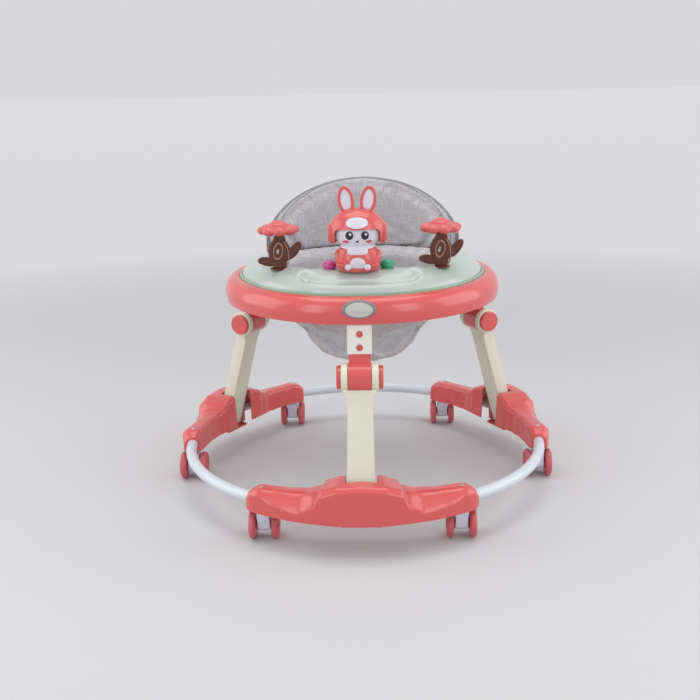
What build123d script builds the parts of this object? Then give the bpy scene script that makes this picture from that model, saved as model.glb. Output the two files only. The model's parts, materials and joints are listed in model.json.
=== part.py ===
from build123d import *
import os
from math import asin, cos, degrees, radians, sin, sqrt, tan

# Baby walker on a castored ring base, millimetres, +Z up, the child faces -Y.
# The origin is on the floor at the centre of the ring.

# --- floor ring and casters
ring_r = 320.0             # centreline of the ring tube
ring_z = 70.0              # its height above the floor
tube_d = 19.0
tube_wall = 1.2
caster_spread = 30.0       # degrees from a leg to the casters on either side of it
wheel_d = 50.0
wheel_w = 14.0
wheel_gap = 24.0           # between the two wheels of a caster
housing_w = 20.0
trail = 10.0               # axle behind the swivel
axle_d = 5.0
stem_d = 8.0
bush_d = 12.0
fit = 0.05                 # radial running clearance
gap = 0.3                  # clearance between neighbours

# --- base covers and leg sockets
cover_half = 34.0          # degrees covered to either side of a leg
cover_wall = 2.5
cover_bottom = 55.0
hump_top = 117.0
hump_in = ring_r - 39.0    # the hump's inner and outer feet either side of the tube
hump_out = ring_r + 28.0
slot_side = 3.0            # cover's slot beside the leg
socket_wall = 7.0
socket_in = ring_r - 16.0
socket_floor = 3.0
socket_play = 3.0          # under the leg's foot

# --- legs and their hinges
rim_r = 242.0              # the tray's rim
knee_r = rim_r + 13.0      # hinge axis, just outside the rim
leg_top_w = 40.0
leg_foot_w = 45.0
leg_t = 24.0
leg_wall = 2.8
leg_reach = 228.0          # from the hinge axis to the end of the foot
foot_height = 49.61647     # the foot's end above the floor, over the middle of the tube
foot_past = 0.5182
leg_lean = degrees(asin((ring_r + foot_past - knee_r) / leg_reach))    # from the vertical
knee_z = foot_height + leg_reach * cos(radians(leg_lean))
barrel_d = 45.0
knuckle_w = 37.0
ear_w = 11.0
hinge_pin_d = 10.0
cap_d = 38.0
cap_w = 7.0

# --- height adjustment
sleeve_lean = 18.0         # degrees from the vertical, inwards towards the tray
tongue_w = 34.6
tongue_t = 10.6
sleeve_play = 0.2
sleeve_wall = 2.0
sleeve_start = 36.0        # from the hinge axis to the sleeve's open end
tongue_reach = 108.0
height_step = 20.0         # the tray's lift from the first hole to the second
first_hole = 10.0          # above the sleeve's open end
hole_d = 11.0
button_play = 0.2
button_travel = 2.2

# --- tray
tray_wall = 2.5
rim_bottom = knee_z + 81.0
rim_h = 41.0
deck_z = rim_bottom + 31.0           # floor under the toy tray
recess_r = rim_r - 25.5
opening_r = 151.0
rear_deck_z = deck_z + 12.0
rear_half = 78.0           # degrees of the rear deck to either side of the back

# --- toy tray and toys
toy_half = 100.0
toy_wall = 2.2
toy_in = opening_r + 1.0
toy_out = recess_r - 4.9
toy_top = deck_z + 40.0
console_x = -2.0
console_y = -toy_in + 2.0
console_a = 72.0
console_b = 42.0
tree_y = -118.0
tree_x = sqrt((toy_out - 33.0) ** 2 - tree_y ** 2)
tree_z = toy_top - 3.0
flower_pin_d = 6.0
press_d = 26.0
press_travel = 3.0
press_x = 47.0
press_y = console_y + 12.0
rabbit_y = console_y - 6.0

# --- backrest and seat
panel_r = recess_r - 16.5
panel_t = 3.0
panel_top = deck_z + 151.0
arch_base = deck_z + 45.0
panel_half_w = panel_r - 23.0
pad_front = 10.0
seat_t = 3.0
leg_hole_r = 42.0
leg_hole_x = 62.0
leg_hole_y = -80.0
leg_hole_z = rim_bottom - 77.0
leg_hole_tilt = -55.0      # degrees, the opening faces forwards and down

knee = (knee_r, 0, knee_z)
leg_down = Vector(sin(radians(leg_lean)), 0, -cos(radians(leg_lean)))
sleeve_up = Vector(-sin(radians(sleeve_lean)), 0, cos(radians(sleeve_lean)))
sleeve_out = Vector(cos(radians(sleeve_lean)), 0, sin(radians(sleeve_lean)))
stations = {"front": -90.0, "left": 30.0, "right": 150.0}
casters = {
    "front_left": -60.0, "side_left": 0.0, "rear_left": 60.0,
    "rear_right": 120.0, "side_right": 180.0, "front_right": 240.0,
}

os.makedirs("parts", exist_ok=True)


def save(part, name):
    part.label = name
    export_step(part, f"parts/{name}.step")


def radial_plane(azimuth):
    """Upright plane through the ring's axis: local x runs outwards, local y up."""
    a = radians(azimuth)
    return Plane(origin=(0, 0, 0), x_dir=(cos(a), sin(a), 0), z_dir=(sin(a), -cos(a), 0))


def along(direction, distance, x_dir=(0, 1, 0)):
    """Plane square to a line from the hinge axis, at a distance along it."""
    return Plane(origin=Vector(*knee) + direction * distance, x_dir=x_dir, z_dir=direction)


# --- ring tube: three arcs whose ends plug into the leg sockets -----------------------------
cheek = leg_foot_w / 2 + gap          # inner faces of the socket that guides the leg's foot
slot_w = leg_foot_w + 2 * slot_side
tube_end = degrees(asin((cheek + 1.0) / (ring_r - tube_d / 2)))
arc_len = 120 - 2 * tube_end
bush_r = bush_d / 2

with BuildPart() as ring_tube:
    with BuildSketch(radial_plane(tube_end)):
        with Locations((ring_r, ring_z)):
            Circle(tube_d / 2)
            Circle(tube_d / 2 - tube_wall, mode=Mode.SUBTRACT)
    revolve(axis=Axis.Z, revolution_arc=arc_len)
    for azimuth in (caster_spread, 120 - caster_spread):
        with Locations(Location((0, 0, ring_z), (0, 0, azimuth)) * Location((ring_r, 0, 0))):
            Cylinder(bush_r + fit, 2 * tube_d, mode=Mode.SUBTRACT)

for name, azimuth in {"ring_tube_left": -90.0, "ring_tube_rear": 30.0, "ring_tube_right": 150.0}.items():
    save(ring_tube.part.rotate(Axis.Z, azimuth), name)

# --- base covers: inverted troughs, humped over the leg -------------------------------------
# each row: degrees from the leg, inner radius, outer radius, top height, fall of the top inwards
cover_rows = [
    (0.0, hump_in, hump_out, hump_top, 12.0),
    (5.5, hump_in, hump_out, hump_top - 1.5, 12.0),
    (10.5, hump_in + 1, hump_out, hump_top - 8, 11.0),
    (12.5, hump_in + 5, hump_out - 1, hump_top - 18, 6.0),
    (17.0, hump_in + 11, hump_out - 3, hump_top - 22, 4.0),
    (24.0, hump_in + 16, hump_out - 5, hump_top - 23, 4.0),
    (29.0, hump_in + 19, hump_out - 7, hump_top - 23, 4.0),
    (31.5, hump_in + 21, hump_out - 8, hump_top - 24, 4.0),
    (cover_half, hump_in + 24, hump_out - 12, hump_top - 31, 4.0),
]


def cover_section(row, side, inset, bottom):
    angle, r_in, r_out, top, fall = row
    with BuildSketch(radial_plane(side * angle)) as section:
        with BuildLine():
            FilletPolyline(
                (r_in + inset, bottom), (r_in + inset + 4, top - inset - fall),
                (r_out - inset - 5, top - inset), (r_out - inset, bottom),
                radius=min(9.0, (r_out - r_in) / 3.7) - inset,
            )
            Line((r_out - inset, bottom), (r_in + inset, bottom))
        make_face()
    return section.sketch


def cover_loft(inset, bottom, rows):
    with BuildPart() as body:
        ordered = [(row, -1) for row in reversed(rows[1:])] + [(row, 1) for row in rows]
        loft([cover_section(row, side, inset, bottom).face() for row, side in ordered], ruled=True)
    return body.part


end_wall = 0.6
inner_rows = cover_rows[:-1] + [(cover_half - end_wall,) + cover_rows[-1][1:]]
foot_out = knee_r + leg_t / 2 / cos(radians(leg_lean)) + tan(radians(leg_lean)) * knee_z
lift_shift = tan(radians(sleeve_lean)) * height_step     # outward play of a leg as the tray lifts
slot_out = foot_out + lift_shift + 2.5
slot_low = min(slot_out - tan(radians(leg_lean)) * cover_bottom, hump_out - cover_wall - 3)

with BuildPart() as base_cover:
    add(cover_loft(0.0, cover_bottom, cover_rows))
    add(cover_loft(cover_wall, cover_bottom - 12, inner_rows), mode=Mode.SUBTRACT)
    with BuildSketch(Plane.XZ) as leg_slot:
        with BuildLine():
            slot_top = hump_top + 15
            Polyline(
                (hump_in - 30, cover_bottom - 20),
                (slot_low, cover_bottom - 20), (slot_low, cover_bottom),
                (slot_out - tan(radians(leg_lean)) * slot_top, slot_top),
                (hump_in - 30, slot_top),
                close=True,
            )
        make_face()
    extrude(amount=slot_w / 2, both=True, mode=Mode.SUBTRACT)
    with BuildSketch(radial_plane(-60)):
        with Locations((ring_r, ring_z)):
            Circle(tube_d / 2 + gap)
    revolve(axis=Axis.Z, revolution_arc=120, mode=Mode.SUBTRACT)
    screw_d = 4.0
    for azimuth in (-caster_spread, caster_spread):
        with Locations(Location((0, 0, hump_top - 25), (0, 0, azimuth)) * Location((ring_r, 0, 0))):
            Cylinder(screw_d / 2 + 0.3, 30, mode=Mode.SUBTRACT)

for name, azimuth in stations.items():
    save(base_cover.part.rotate(Axis.Z, azimuth), f"base_cover_{name}")

# --- leg sockets: two cheeks that hold the tube ends, an outer wall and a curved floor ------
floor_r = leg_reach + socket_play
socket_out = hump_out
foot_z = knee_z - leg_reach * cos(radians(leg_lean))
socket_back = foot_out - tan(radians(leg_lean)) * foot_z + lift_shift + gap
socket_low = 47.0
socket_high = 90.0
floor_in = socket_in - 4.0
socket_skirt = hump_out - 14.0       # nothing shows under the cover's front

with BuildPart() as leg_socket:
    with BuildSketch(Plane.XZ):
        with Locations(((socket_in + socket_out) / 2, (socket_low + socket_high) / 2)):
            Rectangle(socket_out - socket_in, socket_high - socket_low)
    extrude(amount=cheek + socket_wall, both=True)
    with BuildSketch(Plane.XZ):
        with Locations((socket_back - 40, (socket_low + socket_high) / 2)):
            Rectangle(80, 2 * (socket_high - socket_low))
    extrude(amount=cheek, both=True, mode=Mode.SUBTRACT)
    with BuildSketch(Plane.XZ):
        with Locations((knee_r, knee_z)):
            Circle(floor_r + socket_floor)
            Circle(floor_r, mode=Mode.SUBTRACT)
        with Locations(((floor_in + socket_out) / 2, cover_bottom - 5)):
            Rectangle(socket_out - floor_in, 24, mode=Mode.INTERSECT)
    extrude(amount=cheek + socket_wall, both=True)
    add(cover_loft(cover_wall + gap, cover_bottom - 20, inner_rows), mode=Mode.INTERSECT)
    with BuildSketch(radial_plane(-15)):
        with Locations((ring_r, ring_z)):
            Circle(tube_d / 2 + fit)
    revolve(axis=Axis.Z, revolution_arc=30, mode=Mode.SUBTRACT)
    with BuildSketch(Plane.XZ):
        with Locations((socket_skirt + 20, cover_bottom - 20)):
            Rectangle(40, 40)
    extrude(amount=2 * cheek, both=True, mode=Mode.SUBTRACT)

with BuildPart() as leg_sockets:
    for azimuth in stations.values():
        add(leg_socket.part.rotate(Axis.Z, azimuth))
save(leg_sockets.part, "leg_sockets")

# --- caster bushes and the screws that clamp the covers down on them ------------------------
cover_top_at_caster = hump_top - 25.0
cover_slope = 0.6                    # fall of the cover's top across a screw
bush_top = cover_top_at_caster - cover_slope - cover_wall - 3 * gap
bush_bottom = ring_z - tube_d / 2 - 2.5
stem_top = ring_z + 8

with BuildPart() as caster_bush:
    with BuildSketch(Plane.XY.offset(bush_bottom)):
        Circle(bush_r)
    extrude(amount=bush_top - bush_bottom)
    with BuildSketch(Plane.XY.offset(bush_bottom)):
        Circle(bush_r + 3)
    extrude(amount=2.5)
    with BuildSketch(Plane.XY.offset(bush_bottom)):
        Circle(stem_d / 2 + fit)
    extrude(amount=stem_top + 0.5 - bush_bottom, mode=Mode.SUBTRACT)
    with BuildSketch(Plane.XY.offset(stem_top + 3)):
        Circle(screw_d / 2 + fit)
    extrude(amount=bush_top, mode=Mode.SUBTRACT)

with BuildPart() as cover_screw:
    head_z = cover_top_at_caster + gap
    with BuildSketch(Plane.XY.offset(stem_top + 4)):
        Circle(screw_d / 2)
    extrude(amount=head_z - stem_top - 4)
    with BuildSketch(Plane.XY.offset(head_z)):
        Circle(screw_d)
    extrude(amount=2.2)
    fillet(cover_screw.faces().sort_by(Axis.Z)[-1].edges(), 1.2)

caster_places = {
    name: Location((ring_r * cos(radians(azimuth)), ring_r * sin(radians(azimuth)), 0))
    for name, azimuth in casters.items()
}

with BuildPart() as caster_bushes:
    for place in caster_places.values():
        add(caster_bush.part.moved(place))
save(caster_bushes.part, "caster_bushes")

with BuildPart() as cover_screws:
    for place in caster_places.values():
        add(cover_screw.part.moved(place))
save(cover_screws.part, "cover_screws")

# --- casters: a housing with its stem, and a pair of wheels on an axle ----------------------
wheel_r = wheel_d / 2
housing_top = bush_bottom - gap
fork_r = 11.5

with BuildPart() as caster_housing:
    with BuildSketch(Plane.YZ):
        with Locations((trail, wheel_r)):
            Circle(fork_r)
        with BuildLine():
            Polyline(
                (trail - fork_r, wheel_r), (trail + fork_r, wheel_r),
                (trail + fork_r - 2, housing_top - 8), (trail - fork_r - 8, housing_top - 8),
                close=True,
            )
        make_face()
    extrude(amount=housing_w / 2, both=True)
    fillet(caster_housing.edges().filter_by(Axis.Y), 2.0)
    with BuildSketch(Plane.XY.offset(housing_top - 9)):
        Circle(8.5)
    extrude(amount=9)
    with BuildSketch(Plane.XY.offset(housing_top)):
        Circle(stem_d / 2)
    extrude(amount=stem_top - housing_top)
    with Locations(Location((0, trail, wheel_r), (0, 90, 0))):
        Cylinder(axle_d / 2 + fit, housing_w + 10, mode=Mode.SUBTRACT)

with BuildPart() as caster_wheels:
    with BuildSketch(Plane.XZ) as wheel_profile:
        with BuildLine():
            x0 = wheel_gap / 2 - 1.0
            x1 = x0 + wheel_w
            Polyline(
                (x0, axle_d / 2), (x0, 9), (x0 + 2, 11), (x0 + 2, wheel_r - 3), (x0 + 5, wheel_r),
                (x1 - 4, wheel_r), (x1 - 1, wheel_r - 3), (x1 - 1, wheel_r - 5), (x1 - 3, wheel_r - 7),
                (x1 - 3, 9), (x1, 7), (x1, axle_d / 2), close=True,
            )
        make_face()
        mirror(about=Plane.YZ)
    revolve(axis=Axis.X)
    with Locations(Location((0, 0, 0), (0, 90, 0))):
        Cylinder(axle_d / 2, 2 * x1 - 4)

for name, place in caster_places.items():
    turned = 180 if name.startswith("side") else 0      # the side casters trail forwards
    swivel = place * Location((0, 0, 0), (0, 0, turned))
    save(caster_housing.part.moved(swivel), f"caster_housing_{name}")
    save(caster_wheels.part.moved(swivel * Location((0, trail, wheel_r))), f"caster_wheels_{name}")

# --- legs ----------------------------------------------------------------------------------
ear_in = knuckle_w / 2 + gap
ear_out = ear_in + ear_w

with BuildPart() as leg:
    for at, width in ((26.0, leg_top_w), (leg_reach + 8, leg_foot_w)):
        with BuildSketch(along(leg_down, at)):
            Rectangle(width, leg_t)
    loft()
    fillet(leg.edges().group_by(SortBy.LENGTH)[-1], 3.0)
    with BuildSketch(Plane.XZ):
        with Locations((knee_r, knee_z)):
            Circle(leg_reach)
    extrude(amount=leg_foot_w, both=True, mode=Mode.INTERSECT)
    with BuildPart(mode=Mode.PRIVATE) as leg_bore:
        for at, width in ((44.0, leg_top_w), (leg_reach + 8, leg_foot_w)):
            with BuildSketch(along(leg_down, at)):
                Rectangle(width - 2 * leg_wall, leg_t - 2 * leg_wall)
        loft()
    add(leg_bore.part, mode=Mode.SUBTRACT)
    with BuildSketch(along(leg_down, 8.0)):
        Rectangle(2 * ear_out, leg_t - 4)
    extrude(amount=19.5)
    with BuildSketch(Plane.XZ):
        with Locations((knee_r, knee_z)):
            Circle(barrel_d / 2)
    extrude(amount=ear_out, both=True)
    with BuildSketch(Plane.XZ):
        with Locations((knee_r, knee_z)):
            Circle(barrel_d / 2 + 0.6)
    extrude(amount=ear_in, both=True, mode=Mode.SUBTRACT)
    with BuildSketch(Plane.XZ):
        with Locations((knee_r, knee_z)):
            Circle(hinge_pin_d / 2 + fit)
    extrude(amount=ear_out + 1, both=True, mode=Mode.SUBTRACT)

cap_in = ear_out + 0.2

pin_half = cap_in + cap_w / 2

with BuildPart() as hinge_pin:
    for side in (1, -1):
        with BuildSketch(Plane.XZ.offset(side * cap_in)):
            with Locations((knee_r, knee_z)):
                Circle(cap_d / 2)
        extrude(amount=side * cap_w)
    fillet(hinge_pin.faces().sort_by(Axis.Y)[0].edges() + hinge_pin.faces().sort_by(Axis.Y)[-1].edges(), 2.0)
    with BuildSketch(Plane.XZ.offset(-pin_half - fit)):
        with Locations((knee_r, knee_z)):
            Circle(hinge_pin_d / 2 + fit)
    extrude(amount=cap_w, mode=Mode.SUBTRACT)
    with BuildSketch(Plane.XZ):
        with Locations((knee_r, knee_z)):
            Circle(hinge_pin_d / 2)
    extrude(amount=pin_half, both=True)

# --- hinge knuckle with the tongue that rises into the sleeve -------------------------------
button_at = sleeve_start + first_hole + height_step / cos(radians(sleeve_lean))
button_r = hole_d / 2 - 0.2
pocket = 8.7
button_face = tongue_t / 2 + sleeve_play - 0.1


def lock_plane(distance):
    """Plane square to the sleeve's face, at the lock button."""
    origin = Vector(*knee) + sleeve_up * button_at + sleeve_out * distance
    return Plane(origin=origin, x_dir=(0, 1, 0), z_dir=sleeve_out)


with BuildPart() as knuckle:
    with BuildSketch(Plane.XZ):
        with Locations((knee_r, knee_z)):
            Circle(barrel_d / 2)
    extrude(amount=knuckle_w / 2, both=True)
    with BuildSketch(along(sleeve_up, 12.0)):
        Rectangle(tongue_w, tongue_t)
    extrude(amount=tongue_reach - 12.0)
    with BuildSketch(Plane.XZ):
        with Locations((knee_r, knee_z)):
            Circle(hinge_pin_d / 2 + fit)
    extrude(amount=knuckle_w, both=True, mode=Mode.SUBTRACT)
    with BuildSketch(lock_plane(tongue_t / 2 - pocket)):
        Circle(button_r + button_play)
    extrude(amount=pocket + 1, mode=Mode.SUBTRACT)

with BuildPart() as lock_button:
    with BuildSketch(lock_plane(tongue_t / 2 - pocket + button_travel + 0.4)):
        Circle(button_r)
    extrude(amount=pocket - button_travel - 0.4 + button_face - tongue_t / 2)

# --- sleeves ------------------------------------------------------------------------------
sleeve_w = tongue_w + 2 * (sleeve_play + sleeve_wall)
sleeve_t = tongue_t + 2 * (sleeve_play + sleeve_wall)
flange_z = deck_z - tray_wall
flange_r = knee_r - tan(radians(sleeve_lean)) * (flange_z - knee_z)
flange_t = 3.0
sleeve_screw_r = flange_r + 6
sleeve_screw_y = sleeve_w / 2 + 4.0
boss_top = deck_z + 6.0

with BuildPart() as sleeve:
    with BuildSketch(along(sleeve_up, sleeve_start)):
        Rectangle(sleeve_w, sleeve_t)
    extrude(amount=100)
    with BuildSketch(Plane.XY.offset(flange_z - flange_t)):
        with Locations((flange_r - 1, 0)):
            RectangleRounded(32, sleeve_w + 17, 4)
    extrude(amount=flange_t)
    with BuildSketch(Plane.XY.offset(flange_z)):
        with Locations((flange_r, 0)):
            Rectangle(80, 80)
    extrude(amount=60, mode=Mode.SUBTRACT)
    with BuildSketch(along(sleeve_up, sleeve_start - 1)):
        Rectangle(sleeve_w - 2 * sleeve_wall, sleeve_t - 2 * sleeve_wall)
    extrude(amount=120, mode=Mode.SUBTRACT)
    for hole in (first_hole, first_hole + height_step / cos(radians(sleeve_lean))):
        origin = Vector(*knee) + sleeve_up * (sleeve_start + hole)
        with BuildSketch(Plane(origin=origin, x_dir=(0, 1, 0), z_dir=sleeve_out)):
            Circle(hole_d / 2)
        extrude(amount=20, mode=Mode.SUBTRACT)
    with BuildSketch(Plane.XY.offset(flange_z - flange_t - 1)):
        with Locations((sleeve_screw_r, sleeve_screw_y), (sleeve_screw_r, -sleeve_screw_y)):
            Circle(1.7)
    extrude(amount=10, mode=Mode.SUBTRACT)

with BuildPart() as sleeve_screw:
    with BuildSketch(Plane.XY.offset(flange_z - flange_t - 2.2)):
        with Locations((sleeve_screw_r, sleeve_screw_y), (sleeve_screw_r, -sleeve_screw_y)):
            Circle(3.0)
    extrude(amount=2.2)
    with BuildSketch(Plane.XY.offset(flange_z - flange_t)):
        with Locations((sleeve_screw_r, sleeve_screw_y), (sleeve_screw_r, -sleeve_screw_y)):
            Circle(1.5)
    extrude(amount=10)

for name, azimuth in stations.items():
    save(leg.part.rotate(Axis.Z, azimuth), f"leg_{name}")
    save(hinge_pin.part.rotate(Axis.Z, azimuth), f"hinge_pin_{name}")
    save(knuckle.part.rotate(Axis.Z, azimuth), f"knuckle_{name}")
    save(lock_button.part.rotate(Axis.Z, azimuth), f"lock_button_{name}")
    save(sleeve.part.rotate(Axis.Z, azimuth), f"sleeve_{name}")

with BuildPart() as sleeve_screws:
    for azimuth in stations.values():
        add(sleeve_screw.part.rotate(Axis.Z, azimuth))
save(sleeve_screws.part, "sleeve_screws")

# --- tray ring -----------------------------------------------------------------------------
rim = [(rim_r - inwards, rim_bottom + up) for inwards, up in
       ((2.5, 0), (0.6, 8.5), (0, 18.0), (2.5, 28.5), (9.0, rim_h - 4), (17.0, rim_h))]
rear = 90.0
boss_t = 14.0

with BuildPart() as rim_solid:
    with BuildSketch(radial_plane(0)):
        with BuildLine():
            outer = Spline(*rim)
            Polyline(outer @ 1, (recess_r + 1, rim[-1][1]), (recess_r, rim[-1][1] - 1), (recess_r, deck_z),
                     (opening_r, deck_z), (opening_r, rim_bottom + 2), (opening_r + 4, rim_bottom), outer @ 0)
        make_face()
    revolve(axis=Axis.Z)

with BuildPart() as tray_ring:
    add(rim_solid.part)
    with BuildSketch(radial_plane(0)):
        with BuildLine():
            lowered = [(r - tray_wall, z - (0 if z < deck_z else tray_wall)) for r, z in rim[:-1]]
            inner = Spline(*lowered)
            wall_top = rim[-1][1] - tray_wall
            Polyline(inner @ 1, (recess_r + 6, wall_top), (recess_r + tray_wall, wall_top),
                     (recess_r + tray_wall, deck_z - tray_wall),
                     (opening_r + tray_wall, deck_z - tray_wall), (opening_r + tray_wall, rim_bottom - 5),
                     (lowered[0][0], rim_bottom - 5), inner @ 0)
        make_face()
    revolve(axis=Axis.Z, mode=Mode.SUBTRACT)
    for azimuth in stations.values():
        turned = Location((0, 0, 0), (0, 0, azimuth))
        with Locations(turned * Location((recess_r + boss_t / 2, 0, (flange_z + boss_top) / 2))):
            Box(boss_t, 2 * sleeve_screw_y + 10, boss_top - flange_z)
        for side in (1, -1):
            with Locations(turned * Location((sleeve_screw_r, side * sleeve_screw_y, flange_z))):
                Cylinder(1.5 + fit, 2 * (boss_top - flange_z) - 2, mode=Mode.SUBTRACT)
    with BuildSketch(radial_plane(rear - rear_half)):
        with Locations(((opening_r + recess_r) / 2, (deck_z + rear_deck_z) / 2)):
            Rectangle(recess_r - opening_r, rear_deck_z - deck_z)
    revolve(axis=Axis.Z, revolution_arc=2 * rear_half)
    with BuildSketch(radial_plane(rear - rear_half + 1)):
        with Locations(((opening_r + recess_r) / 2 + 0.5, (deck_z + rear_deck_z) / 2 - tray_wall)):
            Rectangle(recess_r - opening_r - 2 * tray_wall + 1, rear_deck_z - deck_z)
    revolve(axis=Axis.Z, revolution_arc=2 * rear_half - 2, mode=Mode.SUBTRACT)
    with BuildSketch(radial_plane(rear - rear_half + 2)):
        with Locations((panel_r + panel_t / 2, rear_deck_z)):
            Rectangle(panel_t + 2 * gap, 10)
    revolve(axis=Axis.Z, revolution_arc=2 * rear_half - 4, mode=Mode.SUBTRACT)
save(tray_ring.part, "tray_ring")

# --- badge plate on the front of the rim, and the strip round the toy tray ------------------
badge_w = 55.0
badge_h = 28.0
badge_t = 2.5

with BuildPart() as badge:
    with BuildSketch(Plane.XZ.offset(rim_r - 15)):
        with Locations((0, rim_bottom + rim_h / 2 + 4)):
            Ellipse(badge_w / 2, badge_h / 2)
    extrude(amount=30)
    with BuildSketch(radial_plane(-120)):
        with BuildLine():
            face = Spline(*[(r + badge_t, z) for r, z in rim])
            Polyline(face @ 1, (recess_r, rim[-1][1]), (recess_r, rim_bottom), face @ 0)
        make_face()
    revolve(axis=Axis.Z, revolution_arc=60, mode=Mode.INTERSECT)
    add(rim_solid.part, mode=Mode.SUBTRACT)
save(badge.part, "badge")

trim_top = rim_bottom + rim_h + 3.0
with BuildPart() as tray_trim:
    with BuildSketch(radial_plane(-90 - toy_half)):
        with BuildLine():
            Polyline((toy_out + gap, deck_z + gap), (recess_r - gap, deck_z + gap),
                     (recess_r - gap, trim_top - 2.5), (recess_r - 2, trim_top),
                     (toy_out + gap, trim_top), close=True)
        make_face()
    revolve(axis=Axis.Z, revolution_arc=2 * toy_half)
save(tray_trim.part, "tray_trim")

# --- toy tray --------------------------------------------------------------------------------
slope_run = 0.63 * (toy_out - toy_in)     # the slope's share of the tray's width
toy_rows = [(toy_out, deck_z + gap), (toy_out, toy_top - 26), (toy_out - 0.2 * slope_run, toy_top - 16),
            (toy_out - 0.575 * slope_run, toy_top - 7), (toy_out - slope_run, toy_top),
            (toy_in + 5, toy_top), (toy_in, toy_top - 5), (toy_in, deck_z + gap)]
hollow_rows = [(toy_out - toy_wall, deck_z - 5), (toy_out - toy_wall, toy_top - 26.7),
               (toy_out - 0.2 * slope_run - 1.5, toy_top - 17.8),
               (toy_out - 0.575 * slope_run - 1, toy_top - 9),
               (toy_out - slope_run - 0.5, toy_top - toy_wall), (toy_in + 5.5, toy_top - toy_wall),
               (toy_in + toy_wall, toy_top - 6), (toy_in + toy_wall, deck_z - 5)]
press_stem = press_d / 2 - 3

with BuildPart() as toy_hollow:
    with BuildSketch(radial_plane(-90 - toy_half + 1)):
        with BuildLine():
            Polyline(*hollow_rows, close=True)
        make_face()
    revolve(axis=Axis.Z, revolution_arc=2 * toy_half - 2)
    with BuildSketch(Plane.XY.offset(deck_z - 2)):
        with Locations((console_x, console_y)):
            Ellipse(console_a - toy_wall, console_b - toy_wall)
    extrude(amount=toy_top - toy_wall - deck_z + 2)

with BuildPart() as toy_tray:
    with BuildSketch(radial_plane(-90 - toy_half)):
        with BuildLine():
            Polyline(*toy_rows, close=True)
        make_face()
    revolve(axis=Axis.Z, revolution_arc=2 * toy_half)
    with BuildSketch(Plane.XY.offset(deck_z + 2)):
        with Locations((console_x, console_y)):
            Ellipse(console_a, console_b)
    extrude(amount=toy_top - deck_z - 2)
    add(toy_hollow.part, mode=Mode.SUBTRACT)
    for side in (1, -1):
        with BuildSketch(Plane.XY.offset(tree_z - 1)):
            with Locations((side * tree_x, tree_y)):
                Circle(17)
        extrude(amount=20, mode=Mode.SUBTRACT)
        with BuildSketch(Plane.XY.offset(tree_z - 4)):
            with Locations((side * tree_x, tree_y)):
                Circle(17)
        extrude(amount=3)
        with BuildSketch(Plane.XY.offset(toy_top - 5)):
            with Locations((console_x + side * press_x, press_y)):
                Circle(press_stem + button_play)
        extrude(amount=10, mode=Mode.SUBTRACT)
save(toy_tray.part, "toy_tray")

# --- press buttons ---------------------------------------------------------------------------
for name, side in (("press_button_left", -1), ("press_button_right", 1)):
    with BuildPart() as press_button:
        with BuildSketch(Plane.XY.offset(toy_top - toy_wall - 4)):
            with Locations((console_x + side * press_x, press_y)):
                Circle(press_stem)
        extrude(amount=toy_wall + 4 + press_travel + gap)
        with BuildSketch(Plane.XY.offset(toy_top + press_travel + gap)):
            with Locations((console_x + side * press_x, press_y)):
                Circle(press_d / 2)
        extrude(amount=9)
        fillet(press_button.faces().sort_by(Axis.Z)[-1].edges(), 8.5)
    save(press_button.part, name)

# --- music module under the console -----------------------------------------------------------
box_w = 66.0
box_d = 38.0
box_h = 22.0
box_z = toy_top - toy_wall - box_h
box_y = console_y + 3.0

with BuildPart() as music_box:
    with BuildSketch(Plane.XY.offset(box_z)):
        with Locations((console_x, box_y)):
            RectangleRounded(box_w, box_d, 4)
    extrude(amount=box_h)
    with BuildSketch(Plane.XY.offset(box_z + 2)):
        with Locations((console_x, box_y)):
            RectangleRounded(box_w - 4, box_d - 4, 2.5)
    extrude(amount=box_h, mode=Mode.SUBTRACT)
save(music_box.part, "music_box")

with BuildPart() as circuit_board:
    with BuildSketch(Plane.XY.offset(box_z + 14)):
        with Locations((console_x + 12, box_y)):
            Rectangle(34, box_d - 4 - 2 * gap)
    extrude(amount=1.6)
    with BuildSketch(Plane.XY.offset(box_z + 2)):
        with Locations((console_x + 12, box_y)):
            Rectangle(10, 10)
    extrude(amount=12)
save(circuit_board.part, "circuit_board")

with BuildPart() as speaker:
    with BuildSketch(Plane.XY.offset(box_z + 2)):
        with Locations((console_x - 16, box_y)):
            Circle(13)
    extrude(amount=5)
    with BuildSketch(Plane.XY.offset(box_z + 7)):
        with Locations((console_x - 16, box_y)):
            Circle(8)
    extrude(amount=6)
save(speaker.part, "speaker")

# --- trees: a carved trunk with two leaves, and a flower that spins on its pin ----------------
trunk_t = 10.0
trunk_top = 55.0
hub_h = 3.0
flower_h = 14.0
flower_lobes = 8

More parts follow.
